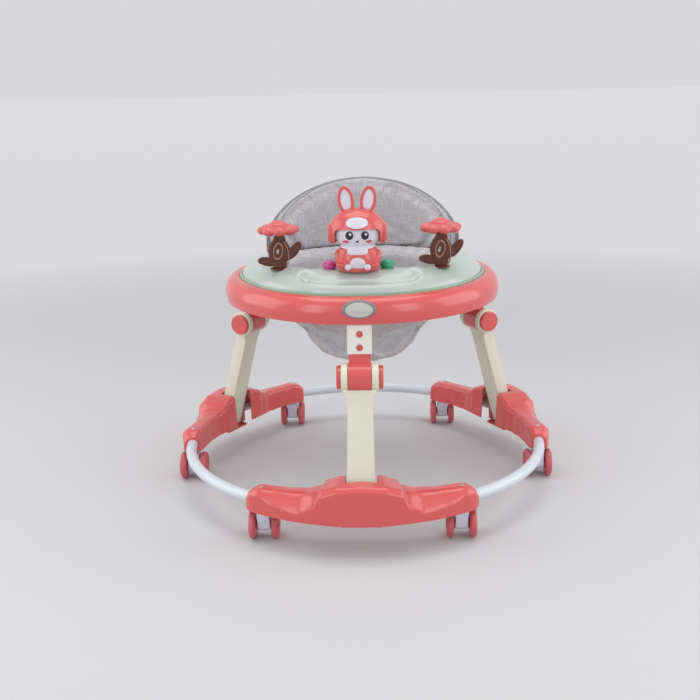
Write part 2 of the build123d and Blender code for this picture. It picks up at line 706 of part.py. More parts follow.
for name, side in (("left", 1), ("right", -1)):
    x = side * tree_x
    with BuildPart() as tree:
        with BuildSketch(Plane.XY.offset(tree_z - 1 + gap)):
            with Locations((x, tree_y)):
                Circle(16)
        extrude(amount=3.0)
        with BuildSketch(Plane.XZ.offset(-tree_y)):
            with Locations((x, tree_z + 27)):
                Ellipse(16, 22)
                Ellipse(2.5, 5, rotation=20, mode=Mode.SUBTRACT)
            with Locations((x, tree_z + 42)):
                Ellipse(9, 13)
            with Locations((x + 3, tree_z + 7)):
                Rectangle(17, 16)
            with Locations((x - 18, tree_z + 11)):
                Ellipse(15, 6.5, rotation=-10)
            with Locations((x + 24, tree_z + 32)):
                Ellipse(16, 7, rotation=50)
            with Locations((x + 14, tree_z + 20)):
                Rectangle(10, 14, rotation=-40)
        extrude(amount=trunk_t / 2, both=True)
        with BuildSketch(Plane.XY.offset(tree_z + trunk_top - 2)):
            with Locations((x, tree_y)):
                Circle(flower_pin_d / 2)
        extrude(amount=16)
    save(tree.part, f"tree_{name}")

    with BuildPart() as flower:
        with BuildSketch(Plane.XY.offset(tree_z + trunk_top + gap + hub_h)):
            with Locations((x, tree_y)):
                Circle(27)
            with Locations((x, tree_y)):
                with PolarLocations(25, flower_lobes):
                    Circle(10.5)
        extrude(amount=flower_h)
        with BuildSketch(Plane.XY.offset(tree_z + trunk_top + gap + hub_h + flower_h)):
            with Locations((x, tree_y)):
                Circle(22)
        extrude(amount=12, taper=35)
        with BuildSketch(Plane.XY.offset(tree_z + trunk_top + gap)):
            with Locations((x, tree_y)):
                Circle(6)
        extrude(amount=hub_h)
        with BuildSketch(Plane.XY.offset(tree_z + trunk_top - 4)):
            with Locations((x, tree_y)):
                Circle(flower_pin_d / 2 + fit)
        extrude(amount=19, mode=Mode.SUBTRACT)
    save(flower.part, f"flower_{name}")

# --- rabbit: body, head and a hood with the ears ------------------------------------------------
body_h = 42.0
head_z = toy_top + body_h + 23
ear_len = 44.0
rabbit_x = console_x

with BuildPart() as rabbit_body:
    with BuildSketch(Plane.XY.offset(toy_top + 0.1)):
        with Locations((rabbit_x, rabbit_y)):
            Ellipse(34, 24)
    with BuildSketch(Plane.XY.offset(toy_top + body_h / 2)):
        with Locations((rabbit_x, rabbit_y)):
            Ellipse(38, 27)
    with BuildSketch(Plane.XY.offset(toy_top + body_h)):
        with Locations((rabbit_x, rabbit_y)):
            Ellipse(29, 22)
    loft()
save(rabbit_body.part, "rabbit_body")


def ellipsoid(a, b, c):
    with BuildPart() as ball:
        Sphere(1)
        scale(by=(a, b, c))
    return ball.part


head_at = Location((rabbit_x, rabbit_y, head_z))
with BuildPart() as rabbit_head:
    add(ellipsoid(39, 30, 31).moved(head_at))
    with BuildSketch(Plane.XY.offset(toy_top + body_h + gap)):
        with Locations((rabbit_x, rabbit_y)):
            Rectangle(120, 120)
    extrude(amount=-60, mode=Mode.SUBTRACT)
save(rabbit_head.part, "rabbit_head")

brim = head_z + 6.0
face_half_w = 35.0
with BuildPart() as rabbit_hood:
    add(ellipsoid(46, 37, 37.5).moved(head_at))
    for side in (1, -1):
        with BuildSketch(Plane.XZ.offset(-rabbit_y)):
            with Locations((rabbit_x + side * 15, head_z + 27 + ear_len / 2)):
                Ellipse(11, ear_len / 2, rotation=-side * 8)
        extrude(amount=6, both=True)
    add(ellipsoid(39 + gap, 30 + gap, 31 + gap).moved(head_at), mode=Mode.SUBTRACT)
    with BuildSketch(Plane.XY.offset(brim)):
        with Locations((rabbit_x, rabbit_y - 40)):
            Rectangle(2 * face_half_w, 80)
    extrude(amount=-60, mode=Mode.SUBTRACT)
    with BuildSketch(Plane.XY.offset(head_z - 18)):
        with Locations((rabbit_x, rabbit_y)):
            Rectangle(120, 120)
    extrude(amount=-60, mode=Mode.SUBTRACT)
save(rabbit_hood.part, "rabbit_hood")

# --- backrest: a curved panel in a slipped-on padded cover ---------------------------------------
panel_half = 74.0
panel_h = 2 * (80.0 - gap)
cover_h = 2 * (78.0 - gap)


def arch(top, half_width, base):
    """Prism under an elliptical arch, long enough to trim the curved backrest."""
    with BuildPart() as prism:
        with BuildSketch(Plane.XZ):
            with Locations((0, base)):
                Ellipse(half_width, top - base)
                with Locations((0, -100)):
                    Rectangle(2 * half_width, 200)
        extrude(amount=-320)
    return prism.part


with BuildPart() as backrest_panel:
    with BuildSketch(radial_plane(rear - panel_half)):
        with Locations((panel_r + panel_t / 2, deck_z + gap + panel_h / 2)):
            Rectangle(panel_t, panel_h)
    revolve(axis=Axis.Z, revolution_arc=2 * panel_half)
    add(arch(panel_top, panel_half_w, arch_base), mode=Mode.INTERSECT)
save(backrest_panel.part, "backrest_panel")

with BuildPart() as backrest_cover:
    with BuildSketch(radial_plane(rear - panel_half - 2)):
        with Locations((panel_r + panel_t / 2 - 3, rear_deck_z + gap + cover_h / 2)):
            Rectangle(2 * pad_front + panel_t, cover_h)
    revolve(axis=Axis.Z, revolution_arc=2 * panel_half + 4)
    add(arch(panel_top + 6, panel_half_w + 6, arch_base), mode=Mode.INTERSECT)
    with BuildPart(mode=Mode.PRIVATE) as pocket_space:
        with BuildSketch(radial_plane(rear - panel_half - 0.2)):
            with Locations((panel_r + panel_t / 2, deck_z + gap + panel_h / 2)):
                Rectangle(panel_t + 2 * gap, panel_h + 2 * gap)
        revolve(axis=Axis.Z, revolution_arc=2 * panel_half + 0.4)
        add(arch(panel_top + gap, panel_half_w + gap, arch_base), mode=Mode.INTERSECT)
    add(pocket_space.part, mode=Mode.SUBTRACT)
save(backrest_cover.part, "backrest_cover")

# --- seat: a fabric sling with leg openings, held by a hem clip on the tray's inner lip -----------
clip_t = 2.0
clip_out = opening_r - gap
clip_top = deck_z - 4.0

with BuildPart() as seat_clip:
    with BuildSketch(radial_plane(0)):
        with BuildLine():
            Polyline((clip_out, rim_bottom + 1.5 - gap), (clip_out, clip_top), (clip_out - clip_t, clip_top),
                     (clip_out - clip_t, rim_bottom - 2), (clip_out + 4, rim_bottom - 2),
                     (clip_out + 4, rim_bottom - gap), (clip_out + 3.5, rim_bottom - gap), close=True)
        make_face()
    revolve(axis=Axis.Z)
save(seat_clip.part, "seat_clip")

seat_out = clip_out - clip_t - gap
sling = [(seat_out, clip_top), (seat_out, rim_bottom - 4), (seat_out - 12.4, rim_bottom - 31),
         (seat_out - 40.4, rim_bottom - 61), (seat_out - 58.4, rim_bottom - 91),
         (seat_out - 80.4, rim_bottom - 109), (seat_out - 106.4, rim_bottom - 117),
         (0.0, rim_bottom - 119)]

with BuildPart() as seat:
    with BuildSketch(radial_plane(0)):
        with BuildLine():
            lining = [(max(r - seat_t, 0.0), z + (0 if z > rim_bottom else seat_t)) for r, z in sling]
            Polyline(*sling, *reversed(lining), close=True)
        make_face()
    revolve(axis=Axis.Z)
    for side in (1, -1):
        with Locations(Location((side * leg_hole_x, leg_hole_y, leg_hole_z), (leg_hole_tilt, 0, 0))):
            Cylinder(leg_hole_r, 90, mode=Mode.SUBTRACT)
save(seat.part, "seat")
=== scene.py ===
import bmesh
import bpy
import json
import math
from mathutils import Euler, Matrix, Vector, noise


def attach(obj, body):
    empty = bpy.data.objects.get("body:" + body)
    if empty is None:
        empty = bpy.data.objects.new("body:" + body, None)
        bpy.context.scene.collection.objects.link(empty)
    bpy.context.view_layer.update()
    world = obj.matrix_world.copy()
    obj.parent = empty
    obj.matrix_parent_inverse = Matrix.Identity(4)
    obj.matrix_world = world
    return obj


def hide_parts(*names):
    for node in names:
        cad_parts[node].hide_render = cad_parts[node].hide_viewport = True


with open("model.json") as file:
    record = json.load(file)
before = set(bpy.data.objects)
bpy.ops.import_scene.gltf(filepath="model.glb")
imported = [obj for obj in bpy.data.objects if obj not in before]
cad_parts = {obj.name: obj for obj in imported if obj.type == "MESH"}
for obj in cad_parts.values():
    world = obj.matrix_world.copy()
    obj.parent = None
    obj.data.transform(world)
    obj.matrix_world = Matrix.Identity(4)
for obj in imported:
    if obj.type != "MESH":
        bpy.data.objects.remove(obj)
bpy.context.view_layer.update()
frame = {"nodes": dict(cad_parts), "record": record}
bpy.ops.object.select_all(action="DESELECT")
nodes = frame["nodes"]
mm = 0.001
print("frame:", len(nodes), "CAD nodes")


# materials: shader maths written as sums on sockets, then one recipe for each finish

def shade(code):
    # "#RRGGBB" as written on screen, turned into the linear colour that sockets want
    parts = [int(code[i:i + 2], 16) / 255 for i in (1, 3, 5)]
    return tuple(p / 12.92 if p < 0.04045 else ((p + 0.055) / 1.055) ** 2.4 for p in parts) + (1.0,)


class Wire:
    # one output socket; sums on it add Math nodes
    def __init__(self, paint, socket):
        self.paint, self.socket = paint, socket

    def maths(self, operation, other, swapped=False):
        pair = (other, self) if swapped else (self, other)
        return self.paint.node("ShaderNodeMath", {"operation": operation}, {0: pair[0], 1: pair[1]})

    def __add__(self, other): return self.maths("ADD", other)
    def __radd__(self, other): return self.maths("ADD", other, True)
    def __sub__(self, other): return self.maths("SUBTRACT", other)
    def __rsub__(self, other): return self.maths("SUBTRACT", other, True)
    def __mul__(self, other): return self.maths("MULTIPLY", other)
    def __rmul__(self, other): return self.maths("MULTIPLY", other, True)
    def __truediv__(self, other): return self.maths("DIVIDE", other)
    def __pow__(self, other): return self.maths("POWER", other)


class Paint:
    # a material with its nodes; node() adds any node, settings first and then its sockets
    def __init__(self, name, **fixed):
        self.material = bpy.data.materials.new(name)
        self.material.use_nodes = True
        self.tree = self.material.node_tree
        self.shader = self.tree.nodes["Principled BSDF"]
        for socket, value in fixed.items():
            self.shader.inputs[socket.replace("_", " ")].default_value = value
        self.place = self.node("ShaderNodeTexCoord", out="Object")

    def node(self, kind, settings=None, values=None, out=0):
        made = self.tree.nodes.new(kind)
        for key, value in (settings or {}).items():
            if key == "stops":
                ramp = made.color_ramp
                while len(ramp.elements) < len(value):
                    ramp.elements.new(0.5)
                for element, (at, tone) in zip(ramp.elements, value):
                    element.position, element.color = at, tone
            else:
                setattr(made, key, value)
        for key, value in (values or {}).items():
            if isinstance(value, Wire):
                self.tree.links.new(value.socket, made.inputs[key])
            else:
                made.inputs[key].default_value = value
        return Wire(self, made.outputs[out])

    def feed(self, **wires):
        for name, wire in wires.items():
            self.tree.links.new(wire.socket, self.shader.inputs[name.replace("_", " ")])

    def noise(self, scale, detail=2.0, stretch=(1, 1, 1), rough=0.5):
        where = self.node("ShaderNodeMapping", {}, {"Vector": self.place, "Scale": stretch})
        return self.node("ShaderNodeTexNoise", {}, {"Vector": where, "Scale": scale, "Detail": detail,
                                                    "Roughness": rough})

    def between(self, factor, low, high):
        # the factor's 0..1 shared between two colours
        return self.node("ShaderNodeMix", {"data_type": "RGBA"}, {0: factor, 6: low, 7: high}, out=2)

    def ramp(self, factor, *stops):
        return self.node("ShaderNodeValToRGB", {"stops": [(at, (v, v, v, 1)) for at, v in stops]}, {0: factor})

    def axis(self, name):
        return self.node("ShaderNodeSeparateXYZ", {}, {0: self.place}, out=name)

    def bump(self, height, distance, strength=1.0):
        return self.node("ShaderNodeBump", {}, {"Height": height, "Distance": distance, "Strength": strength})


def tinted(code, factor):
    tone = shade(code)
    return tuple(min(1.0, c * factor) for c in tone[:3]) + (1,)


def plastic(name, look):
    # moulded plastic: faint clouds in the colour, orange peel and duller handled patches
    paint = Paint(name, Specular_IOR_Level=0.5, Coat_Weight=look.get("coat", 0.3), Coat_Roughness=0.08)
    clouds = paint.noise(14, 3)
    fine = paint.noise(420, 2)
    scuffs = paint.ramp(paint.noise(38, 5, rough=0.7), (0.5, 0.0), (0.72, 1.0))
    base = paint.between(clouds, tinted(look["color"], 0.97), tinted(look["color"], 1.03))
    paint.feed(Base_Color=paint.between(scuffs * 0.02, base, tinted(look["color"], 1.3)),
               Roughness=look["rough"] + scuffs * 0.02 + clouds * 0.02,
               Normal=paint.bump(clouds * 0.6 + fine * 0.4, look.get("peel", 0.00003)))
    return paint.material


plastics = {
    "coralPlastic": {"color": "#D45654", "rough": 0.24, "coat": 0.35, "peel": 0.00002},
    "darkCoralPlastic": {"color": "#C6595B", "rough": 0.34, "coat": 0.15},
    "creamPlastic": {"color": "#DCDCC8", "rough": 0.36, "coat": 0.15},
    "whitePlastic": {"color": "#DEDCD6", "rough": 0.32, "coat": 0.2},
    "casterWhite": {"color": "#D9DBEC", "rough": 0.34, "coat": 0.2},
    "wheelPlastic": {"color": "#C4575D", "rough": 0.36, "coat": 0.15},
    "nylon": {"color": "#E2E1DC", "rough": 0.45, "coat": 0.0},
    "mintPlastic": {"color": "#B4BEB8", "rough": 0.22, "coat": 0.5},
    "greenTrim": {"color": "#86A68E", "rough": 0.3, "coat": 0.4},
    "greyPlastic": {"color": "#8F8E92", "rough": 0.5, "coat": 0.0},
    "brownPlastic": {"color": "#5A2818", "rough": 0.34, "coat": 0.08},
    "flowerCoral": {"color": "#D25856", "rough": 0.26, "coat": 0.35},
    "toyCoral": {"color": "#D45856", "rough": 0.25, "coat": 0.35},
    "toyWhite": {"color": "#D8D7E2", "rough": 0.26, "coat": 0.4},
    "magentaPlastic": {"color": "#C23E92", "rough": 0.25, "coat": 0.4},
    "greenPlastic": {"color": "#1E9E78", "rough": 0.25, "coat": 0.4},
    "boardGreen": {"color": "#1F6B45", "rough": 0.5, "coat": 0.0},
    "speakerBlack": {"color": "#26262A", "rough": 0.6, "coat": 0.0},
    "eyeBlack": {"color": "#17151A", "rough": 0.3, "coat": 0.15},
    "cheekPink": {"color": "#D24A58", "rough": 0.35, "coat": 0.1},
    "earWhite": {"color": "#DCDDE8", "rough": 0.3, "coat": 0.3},
    # painted highlight: a paler brown for the trunks' raised vein lines, standing in for light on the ridges
    "grooveBrown": {"color": "#A87E70", "rough": 0.35, "coat": 0.2},
    "badgePlate": {"color": "#B9BAB3", "rough": 0.4, "coat": 0.2},
    "badgeRing": {"color": "#77787C", "rough": 0.35, "coat": 0.3},
}
finishes = {name: plastic(name, look) for name, look in plastics.items()}

tubeLook = {"color": "#D0D6DE", "rough": 0.3}
steelLook = {"color": "#C9C8C6", "rough": 0.26}


def paintedTube(look):
    paint = Paint("paintedTube", Coat_Weight=0.4, Coat_Roughness=0.12)
    clouds = paint.noise(18, 3)
    peel = paint.noise(260, 2)
    paint.feed(Base_Color=paint.between(clouds, tinted(look["color"], 0.95), tinted(look["color"], 1.04)),
               Roughness=look["rough"] + clouds * 0.08, Normal=paint.bump(peel, 0.00012))
    return paint.material


def screwSteel(look):
    paint = Paint("screwSteel", Metallic=1.0)
    brushed = paint.noise(700, 2, stretch=(1, 1, 0.1))
    paint.feed(Base_Color=paint.between(brushed, tinted(look["color"], 0.85), tinted(look["color"], 1.1)),
               Roughness=look["rough"] + brushed * 0.15, Normal=paint.bump(brushed, 0.00003))
    return paint.material


linenLook = {"color": "#BBB9BC", "pitch": 0.0013, "wear": 1.0}


def linen(name, look):
    # melange weave: streaky yarns both ways round the seat's upright axis, under a fine thread relief
    paint = Paint(name, Specular_IOR_Level=0.25, Sheen_Weight=0.25, Sheen_Roughness=0.5)
    x, y, z = paint.axis("X"), paint.axis("Y"), paint.axis("Z")
    turn = paint.node("ShaderNodeMath", {"operation": "ARCTAN2"}, {0: x, 1: y}) * 0.17
    away = paint.node("ShaderNodeMath", {"operation": "SQRT"}, {0: x * x + y * y})
    cloth = paint.node("ShaderNodeCombineXYZ", {}, {0: turn, 1: z - away * 0.6, 2: 0.0})

    def yarns(across, scale, detail=2.0):
        where = paint.node("ShaderNodeMapping", {}, {"Vector": cloth, "Scale": across})
        return paint.node("ShaderNodeTexNoise", {}, {"Vector": where, "Scale": scale, "Detail": detail})

    weft = paint.ramp(yarns((0.09, 1, 1), 520), (0.34, 0.0), (0.66, 1.0))
    warp = paint.ramp(yarns((1, 0.09, 1), 520), (0.34, 0.0), (0.66, 1.0))
    clouds = paint.noise(20, 4, rough=0.6)
    rows = paint.node("ShaderNodeMath", {"operation": "SINE"}, {0: turn * (6.2832 / look["pitch"])})
    picks = paint.node("ShaderNodeMath", {"operation": "SINE"}, {0: (z - away * 0.6) * (6.2832 / look["pitch"])})
    streak = (weft + warp) * 0.5
    tone = paint.between(streak * look["wear"], tinted(look["color"], 0.74), tinted(look["color"], 1.24))
    paint.feed(Base_Color=paint.between(paint.ramp(clouds, (0.3, 0.0), (0.75, 1.0)) * 0.35, tone,
                                        tinted(look["color"], 1.12)),
               Roughness=0.78 + streak * 0.14,
               Normal=paint.bump(rows * picks * 0.5 + streak * 0.8, 0.0004, 0.7))
    return paint.material


finishes["greyLinen"] = linen("greyLinen", linenLook)
finishes["darkPiping"] = linen("darkPiping", dict(linenLook, color="#A3A2A6", wear=0.5))
finishes["paintedTube"] = paintedTube(tubeLook)
finishes["screwSteel"] = screwSteel(steelLook)
print("materials ready:", len(finishes))

# each CAD node wears the finish named after its slot: coral_plastic wears coralPlastic
for part in frame["record"]["subparts"]:
    words = part["material_slot"].split("_")
    finish = words[0] + "".join(word.capitalize() for word in words[1:])
    if finish in ("badgeGrey", "greyLinen"):    # only shows where no piece of its own covers the node
        finish = "greyPlastic"
    for holder in nodes[part["node"]].material_slots:
        holder.material = finishes[finish]


# studio: a pale floor that fades into a plain backdrop, soft lamps and the camera

studioLook = {"floor": "#CACACC", "backdrop": "#D8D8DB", "light": "#F5F5F7", "ambient": 0.68,
              "fadeStart": 0.95, "fadeEnd": 2.6, "size": 60}
cameraLook = {"place": (0.0404, -1.7919, 0.7365), "pitch": 74.59, "turn": 2.057, "roll": -1.258, "lens": 52.49}
lampLooks = [
    {"name": "overhead", "place": (0.0, 0.05, 2.3), "aim": (0, 0, 0.2), "size": (1.9, 1.3), "power": 16},
    {"name": "leftBox", "place": (-1.15, -1.55, 0.95), "aim": (0, 0, 0.35), "size": (0.6, 1.5), "power": 6.5},
    {"name": "rightBox", "place": (1.15, -1.55, 0.95), "aim": (0, 0, 0.35), "size": (0.6, 1.5), "power": 6.5},
    {"name": "leftFill", "place": (-1.9, -0.1, 0.9), "aim": (0, 0, 0.2), "size": (1.5, 1.7), "power": 13},
    {"name": "rightFill", "place": (1.9, -0.1, 0.9), "aim": (0, 0, 0.2), "size": (1.5, 1.7), "power": 13},
]


def buildStudio(look):
    bpy.ops.mesh.primitive_plane_add(size=look["size"])
    floor = bpy.context.object
    floor.name = "studioFloor"
    bpy.ops.object.mode_set(mode="EDIT")
    bpy.ops.mesh.subdivide(number_cuts=7)
    bpy.ops.object.mode_set(mode="OBJECT")
    paint = Paint("studioGrey", Roughness=0.85, Specular_IOR_Level=0.1, Emission_Strength=1.0)
    x, y = paint.axis("X"), paint.axis("Y")
    away = (x * x + y * y) ** 0.5 / 10
    # the far floor takes the backdrop's colour for the eye and for gloss, and adds no light of its own
    rays = [paint.node("ShaderNodeLightPath", out=kind) for kind in ("Is Camera Ray", "Is Glossy Ray")]
    fade = paint.ramp(away, (look["fadeStart"] / 10, 0.0), (look["fadeEnd"] / 10, 1.0)) * (rays[0] + rays[1])
    black = (0.0, 0.0, 0.0, 1.0)
    paint.feed(Base_Color=paint.between(fade, shade(look["floor"]), black),
               Emission_Color=paint.between(fade, black, shade(look["backdrop"])))
    floor.data.materials.append(paint.material)
    world = bpy.data.worlds.new("studioLight")
    bpy.context.scene.world = world
    world.use_nodes = True
    nodes, links = world.node_tree.nodes, world.node_tree.links
    rays = nodes.new("ShaderNodeLightPath")
    either = nodes.new("ShaderNodeMath")
    either.operation = "MAXIMUM"
    links.new(rays.outputs["Is Camera Ray"], either.inputs[0])
    links.new(rays.outputs["Is Glossy Ray"], either.inputs[1])
    mix = nodes.new("ShaderNodeMix")
    mix.data_type = "RGBA"
    lit = [channel * look["ambient"] for channel in shade(look["light"])[:3]] + [1.0]
    for socket in mix.inputs:
        if socket.type == "RGBA":
            socket.default_value = shade(look["backdrop"]) if socket.name == "B" else lit
    links.new(either.outputs[0], mix.inputs["Factor"])
    result = next(socket for socket in mix.outputs if socket.type == "RGBA")
    links.new(result, nodes["Background"].inputs["Color"])


def pick(obj, test, kind="FACE"):
    # selects the open mesh's faces, edges or points whose middle and normal pass the test
    bpy.ops.mesh.select_mode(type=kind)
    bpy.ops.mesh.select_all(action="DESELECT")
    mesh = bmesh.from_edit_mesh(obj.data)
    for item in {"FACE": mesh.faces, "EDGE": mesh.edges, "VERT": mesh.verts}[kind]:
        if kind == "FACE":
            middle, normal = item.calc_center_median(), item.normal
        elif kind == "EDGE":
            middle = (item.verts[0].co + item.verts[1].co) / 2
            normal = (item.verts[0].co - item.verts[1].co).normalized()
        else:
            middle, normal = item.co, item.normal
        if test(middle, normal):
            item.select_set(True)
    mesh.select_flush_mode()
    bmesh.update_edit_mesh(obj.data)


def buildCamera(look):
    bpy.ops.object.camera_add(location=look["place"])
    camera = bpy.context.object
    turn = Euler((math.radians(look["pitch"]), 0, math.radians(look["turn"]))).to_matrix()
    camera.rotation_euler = (turn @ Matrix.Rotation(math.radians(look["roll"]), 3, "Z")).to_euler()
    camera.data.lens = look["lens"]
    camera.data.clip_end = 60
    bpy.context.scene.camera = camera


def buildLamps(looks):
    for look in looks:
        bpy.ops.object.light_add(type="AREA", location=look["place"])
        lamp = bpy.context.object
        lamp.name = look["name"]
        lamp.rotation_euler = (Vector(look["place"]) - Vector(look["aim"])).to_track_quat("Z", "Y").to_euler()
        lamp.data.shape = "RECTANGLE"
        lamp.data.size, lamp.data.size_y = look["size"]
        lamp.data.energy = look["power"]


buildStudio(studioLook)
buildCamera(cameraLook)
buildLamps(lampLooks)
bpy.context.scene.view_settings.view_transform = "Standard"
print("studio ready")

# modelling helpers; sizes are in mm unless a note says otherwise

def start(kind, **settings):
    # adds a primitive with nothing else selected and opens it
    bpy.ops.object.select_all(action="DESELECT")
    getattr(bpy.ops.mesh, "primitive_" + kind + "_add")(**settings)
    bpy.ops.object.mode_set(mode="EDIT")
    bpy.ops.mesh.select_mode(type="VERT")
    return bpy.context.object


def close():
    bpy.ops.object.mode_set(mode="OBJECT")


def pull(x=0, y=0, z=0):
    bpy.ops.mesh.extrude_region_move(TRANSFORM_OT_translate={"value": (x, y, z)})


def move(x, y, z):
    bpy.ops.transform.translate(value=(x * mm, y * mm, z * mm))


def stretch(x, y, z, **pivot):
    bpy.ops.transform.resize(value=(x, y, z), **pivot)


def turnBy(degrees, axis):
    # turns what is selected about the origin; the pivot is always named
    bpy.ops.transform.rotate(value=math.radians(degrees), orient_axis=axis, center_override=(0, 0, 0))


def selectAll():
    bpy.ops.mesh.select_all(action="SELECT")


def modify(obj, kind, **settings):
    modifier = obj.modifiers.new(kind.lower(), kind)
    for key, value in settings.items():
        setattr(modifier, key, value)
    bpy.context.view_layer.objects.active = obj
    bpy.ops.object.modifier_apply(modifier=modifier.name)


def cut(obj, cutter, operation="DIFFERENCE"):
    # a boolean with a cutter that goes away afterwards
    modify(obj, "BOOLEAN", object=cutter, operation=operation, solver="EXACT")
    bpy.data.objects.remove(cutter)


def roundEdges(obj, width, segments, sharper):
    # bevels the edges that are sharper than an angle in degrees
    modify(obj, "BEVEL", width=width * mm, segments=segments, limit_method="ANGLE",
           angle_limit=math.radians(sharper))


def shapeGrid(obj, place):
    # lays an open grid's points, counted 0..1 both ways, on a surface
    close()
    for point in obj.data.vertices:
        point.co = place(point.co.x + 0.5, point.co.y + 0.5)
    bpy.ops.object.mode_set(mode="EDIT")


def tidyMesh(weld=0.00005):
    selectAll()
    bpy.ops.mesh.remove_doubles(threshold=weld)
    bpy.ops.mesh.normals_make_consistent(inside=False)


def lathe(profile, centre=(0, 0, 0), steps=64, corner=0.0):
    # draws a line of (radius, height) points and spins it about an upright axis
    profile = [(r * mm, z * mm) for r, z in profile]
    obj = start("plane", size=0.002)
    bpy.ops.mesh.merge(type="CENTER")
    bpy.ops.transform.translate(value=(profile[0][0], 0, profile[0][1]))
    for (r0, z0), (r1, z1) in zip(profile, profile[1:]):
        pull(r1 - r0, 0, z1 - z0)
    selectAll()
    if corner:
        bpy.ops.mesh.bevel(offset=corner * mm, segments=3, affect="VERTICES")
        selectAll()
    bpy.ops.mesh.spin(steps=steps, angle=2 * math.pi, center=(0, 0, 0), axis=(0, 0, 1))
    tidyMesh()
    move(*centre)
    close()
    return obj


def keep(obj, name, body, finish, slot, *replaced, angle=38):
    # the finished piece sits at the origin with its place in its mesh, and rides on its body
    if obj.mode == "EDIT":
        close()
    bpy.ops.object.select_all(action="DESELECT")
    obj.select_set(True)
    bpy.context.view_layer.objects.active = obj
    bpy.ops.object.transform_apply(location=True, rotation=True, scale=True)
    obj.name = obj.data.name = name
    for part in (finish if isinstance(finish, (list, tuple)) else [finish]):
        obj.data.materials.append(finishes[part])
    if angle:
        bpy.ops.object.shade_smooth_by_angle(angle=math.radians(angle))
    else:
        bpy.ops.object.shade_smooth()
    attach(obj, body)
    if replaced:
        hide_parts(*replaced)
    return obj


def copyPiece(obj, turn):
    # a copy with its own mesh, turned about the upright axis
    twin = obj.copy()
    twin.data = obj.data.copy()
    bpy.context.collection.objects.link(twin)
    twin.data.transform(Matrix.Rotation(math.radians(turn), 4, "Z"))
    return twin


def joinAll(parts):
    bpy.ops.object.select_all(action="DESELECT")
    for part in parts:
        part.select_set(True)
    bpy.context.view_layer.objects.active = parts[0]
    bpy.ops.object.join()
    return bpy.context.object


def ease(t):
    t = min(1.0, max(0.0, t))
    return t * t * (3 - 2 * t)


def between(table, t):
    # eased reading of a table of (at, value, value, ...) rows
    for low, high in zip(table, table[1:]):
        if t <= high[0]:
            share = ease((t - low[0]) / (high[0] - low[0]))
            return [a + (b - a) * share for a, b in zip(low[1:], high[1:])]
    return list(table[-1][1:])


stations = {"front": -90, "left": 30, "right": 150}

# base covers: an inverted trough over each leg, modelled once

coverLook = {
    # degrees from the leg, inner radius, outer radius, top, chamfer across, chamfer down, bottom (mm)
    "rows": [(0, 281, 348, 118.5, 7, 7, 53.5), (6, 281, 348, 116, 7, 7, 54), (10.6, 282, 347.6, 109.5, 8, 8, 55),
             (12.4, 285, 347, 99, 17, 17, 55), (17, 291, 345.5, 95, 21, 25, 55), (24, 297, 343, 94, 16, 19, 55),
             (30, 301, 341, 94, 9, 9, 55), (32, 303, 339, 92, 8, 8, 55), (33.9, 306, 335, 84, 8, 10, 56)],
    "halfSpan": 33.9, "wall": 2.5, "slot": 24.6,
}


def coverSection(angle):
    r0, r1, top, across, down, bottom = between(coverLook["rows"], abs(angle))
    corners = [(r0, bottom), (r0 + 3.5, top), (r1 - across, top), (r1, top - down), (r1, bottom)]
    radii = [0, 8, 5 + across * 0.25, 2.5 + 0.1 * across, 0]
    path = [corners[0]]
    for before, corner, after, radius in zip(corners, corners[1:], corners[2:], radii[1:]):
        c, a, b = Vector(corner), Vector(before), Vector(after)
        toA, toB = (a - c), (b - c)
        reach = min(radius, toA.length * 0.48, toB.length * 0.48)
        p0, p1 = c + toA.normalized() * reach, c + toB.normalized() * reach
        for step in range(7):
            t = step / 6
            path.append(tuple((1 - t) ** 2 * p0 + 2 * t * (1 - t) * c + t * t * p1))
    path.append(corners[-1])
    return path


def makeCover():
    span = coverLook["halfSpan"]
    count = len(coverSection(0)) - 1
    obj = start("grid", x_subdivisions=110, y_subdivisions=count, size=1)
    sections = {}

    def place(u, v):
        angle = span * (2 * u - 1)
        key = round(angle, 4)
        if key not in sections:
            sections[key] = coverSection(angle)
        r, z = sections[key][round(v * count)]
        turn = math.radians(angle)
        return Vector((r * math.cos(turn), r * math.sin(turn), z)) * mm

    shapeGrid(obj, place)
    for end in (-1, 1):                                  # thin end walls
        pick(obj, lambda at, n: end * math.degrees(math.atan2(at.y, at.x)) > span - 0.1, "EDGE")
        bpy.ops.mesh.edge_face_add()
        bpy.ops.mesh.inset(thickness=0.0016)
    tidyMesh()
    close()
    modify(obj, "SOLIDIFY", thickness=coverLook["wall"] * mm, offset=-1)
    slot = start("cube", size=1, location=(0.29, 0, 0.1), scale=(0.06, 2 * coverLook["slot"] * mm, 0.16))
    close()
    cut(obj, slot)
    return obj


cover = makeCover()
for side, azimuth in stations.items():
    twin = copyPiece(cover, azimuth)
    keep(twin, "bumper" + side.capitalize(), "base", "coralPlastic", "coral_plastic", "base_cover_" + side)
bpy.data.objects.remove(cover)
print("base covers ready")

# rabbit on the music console

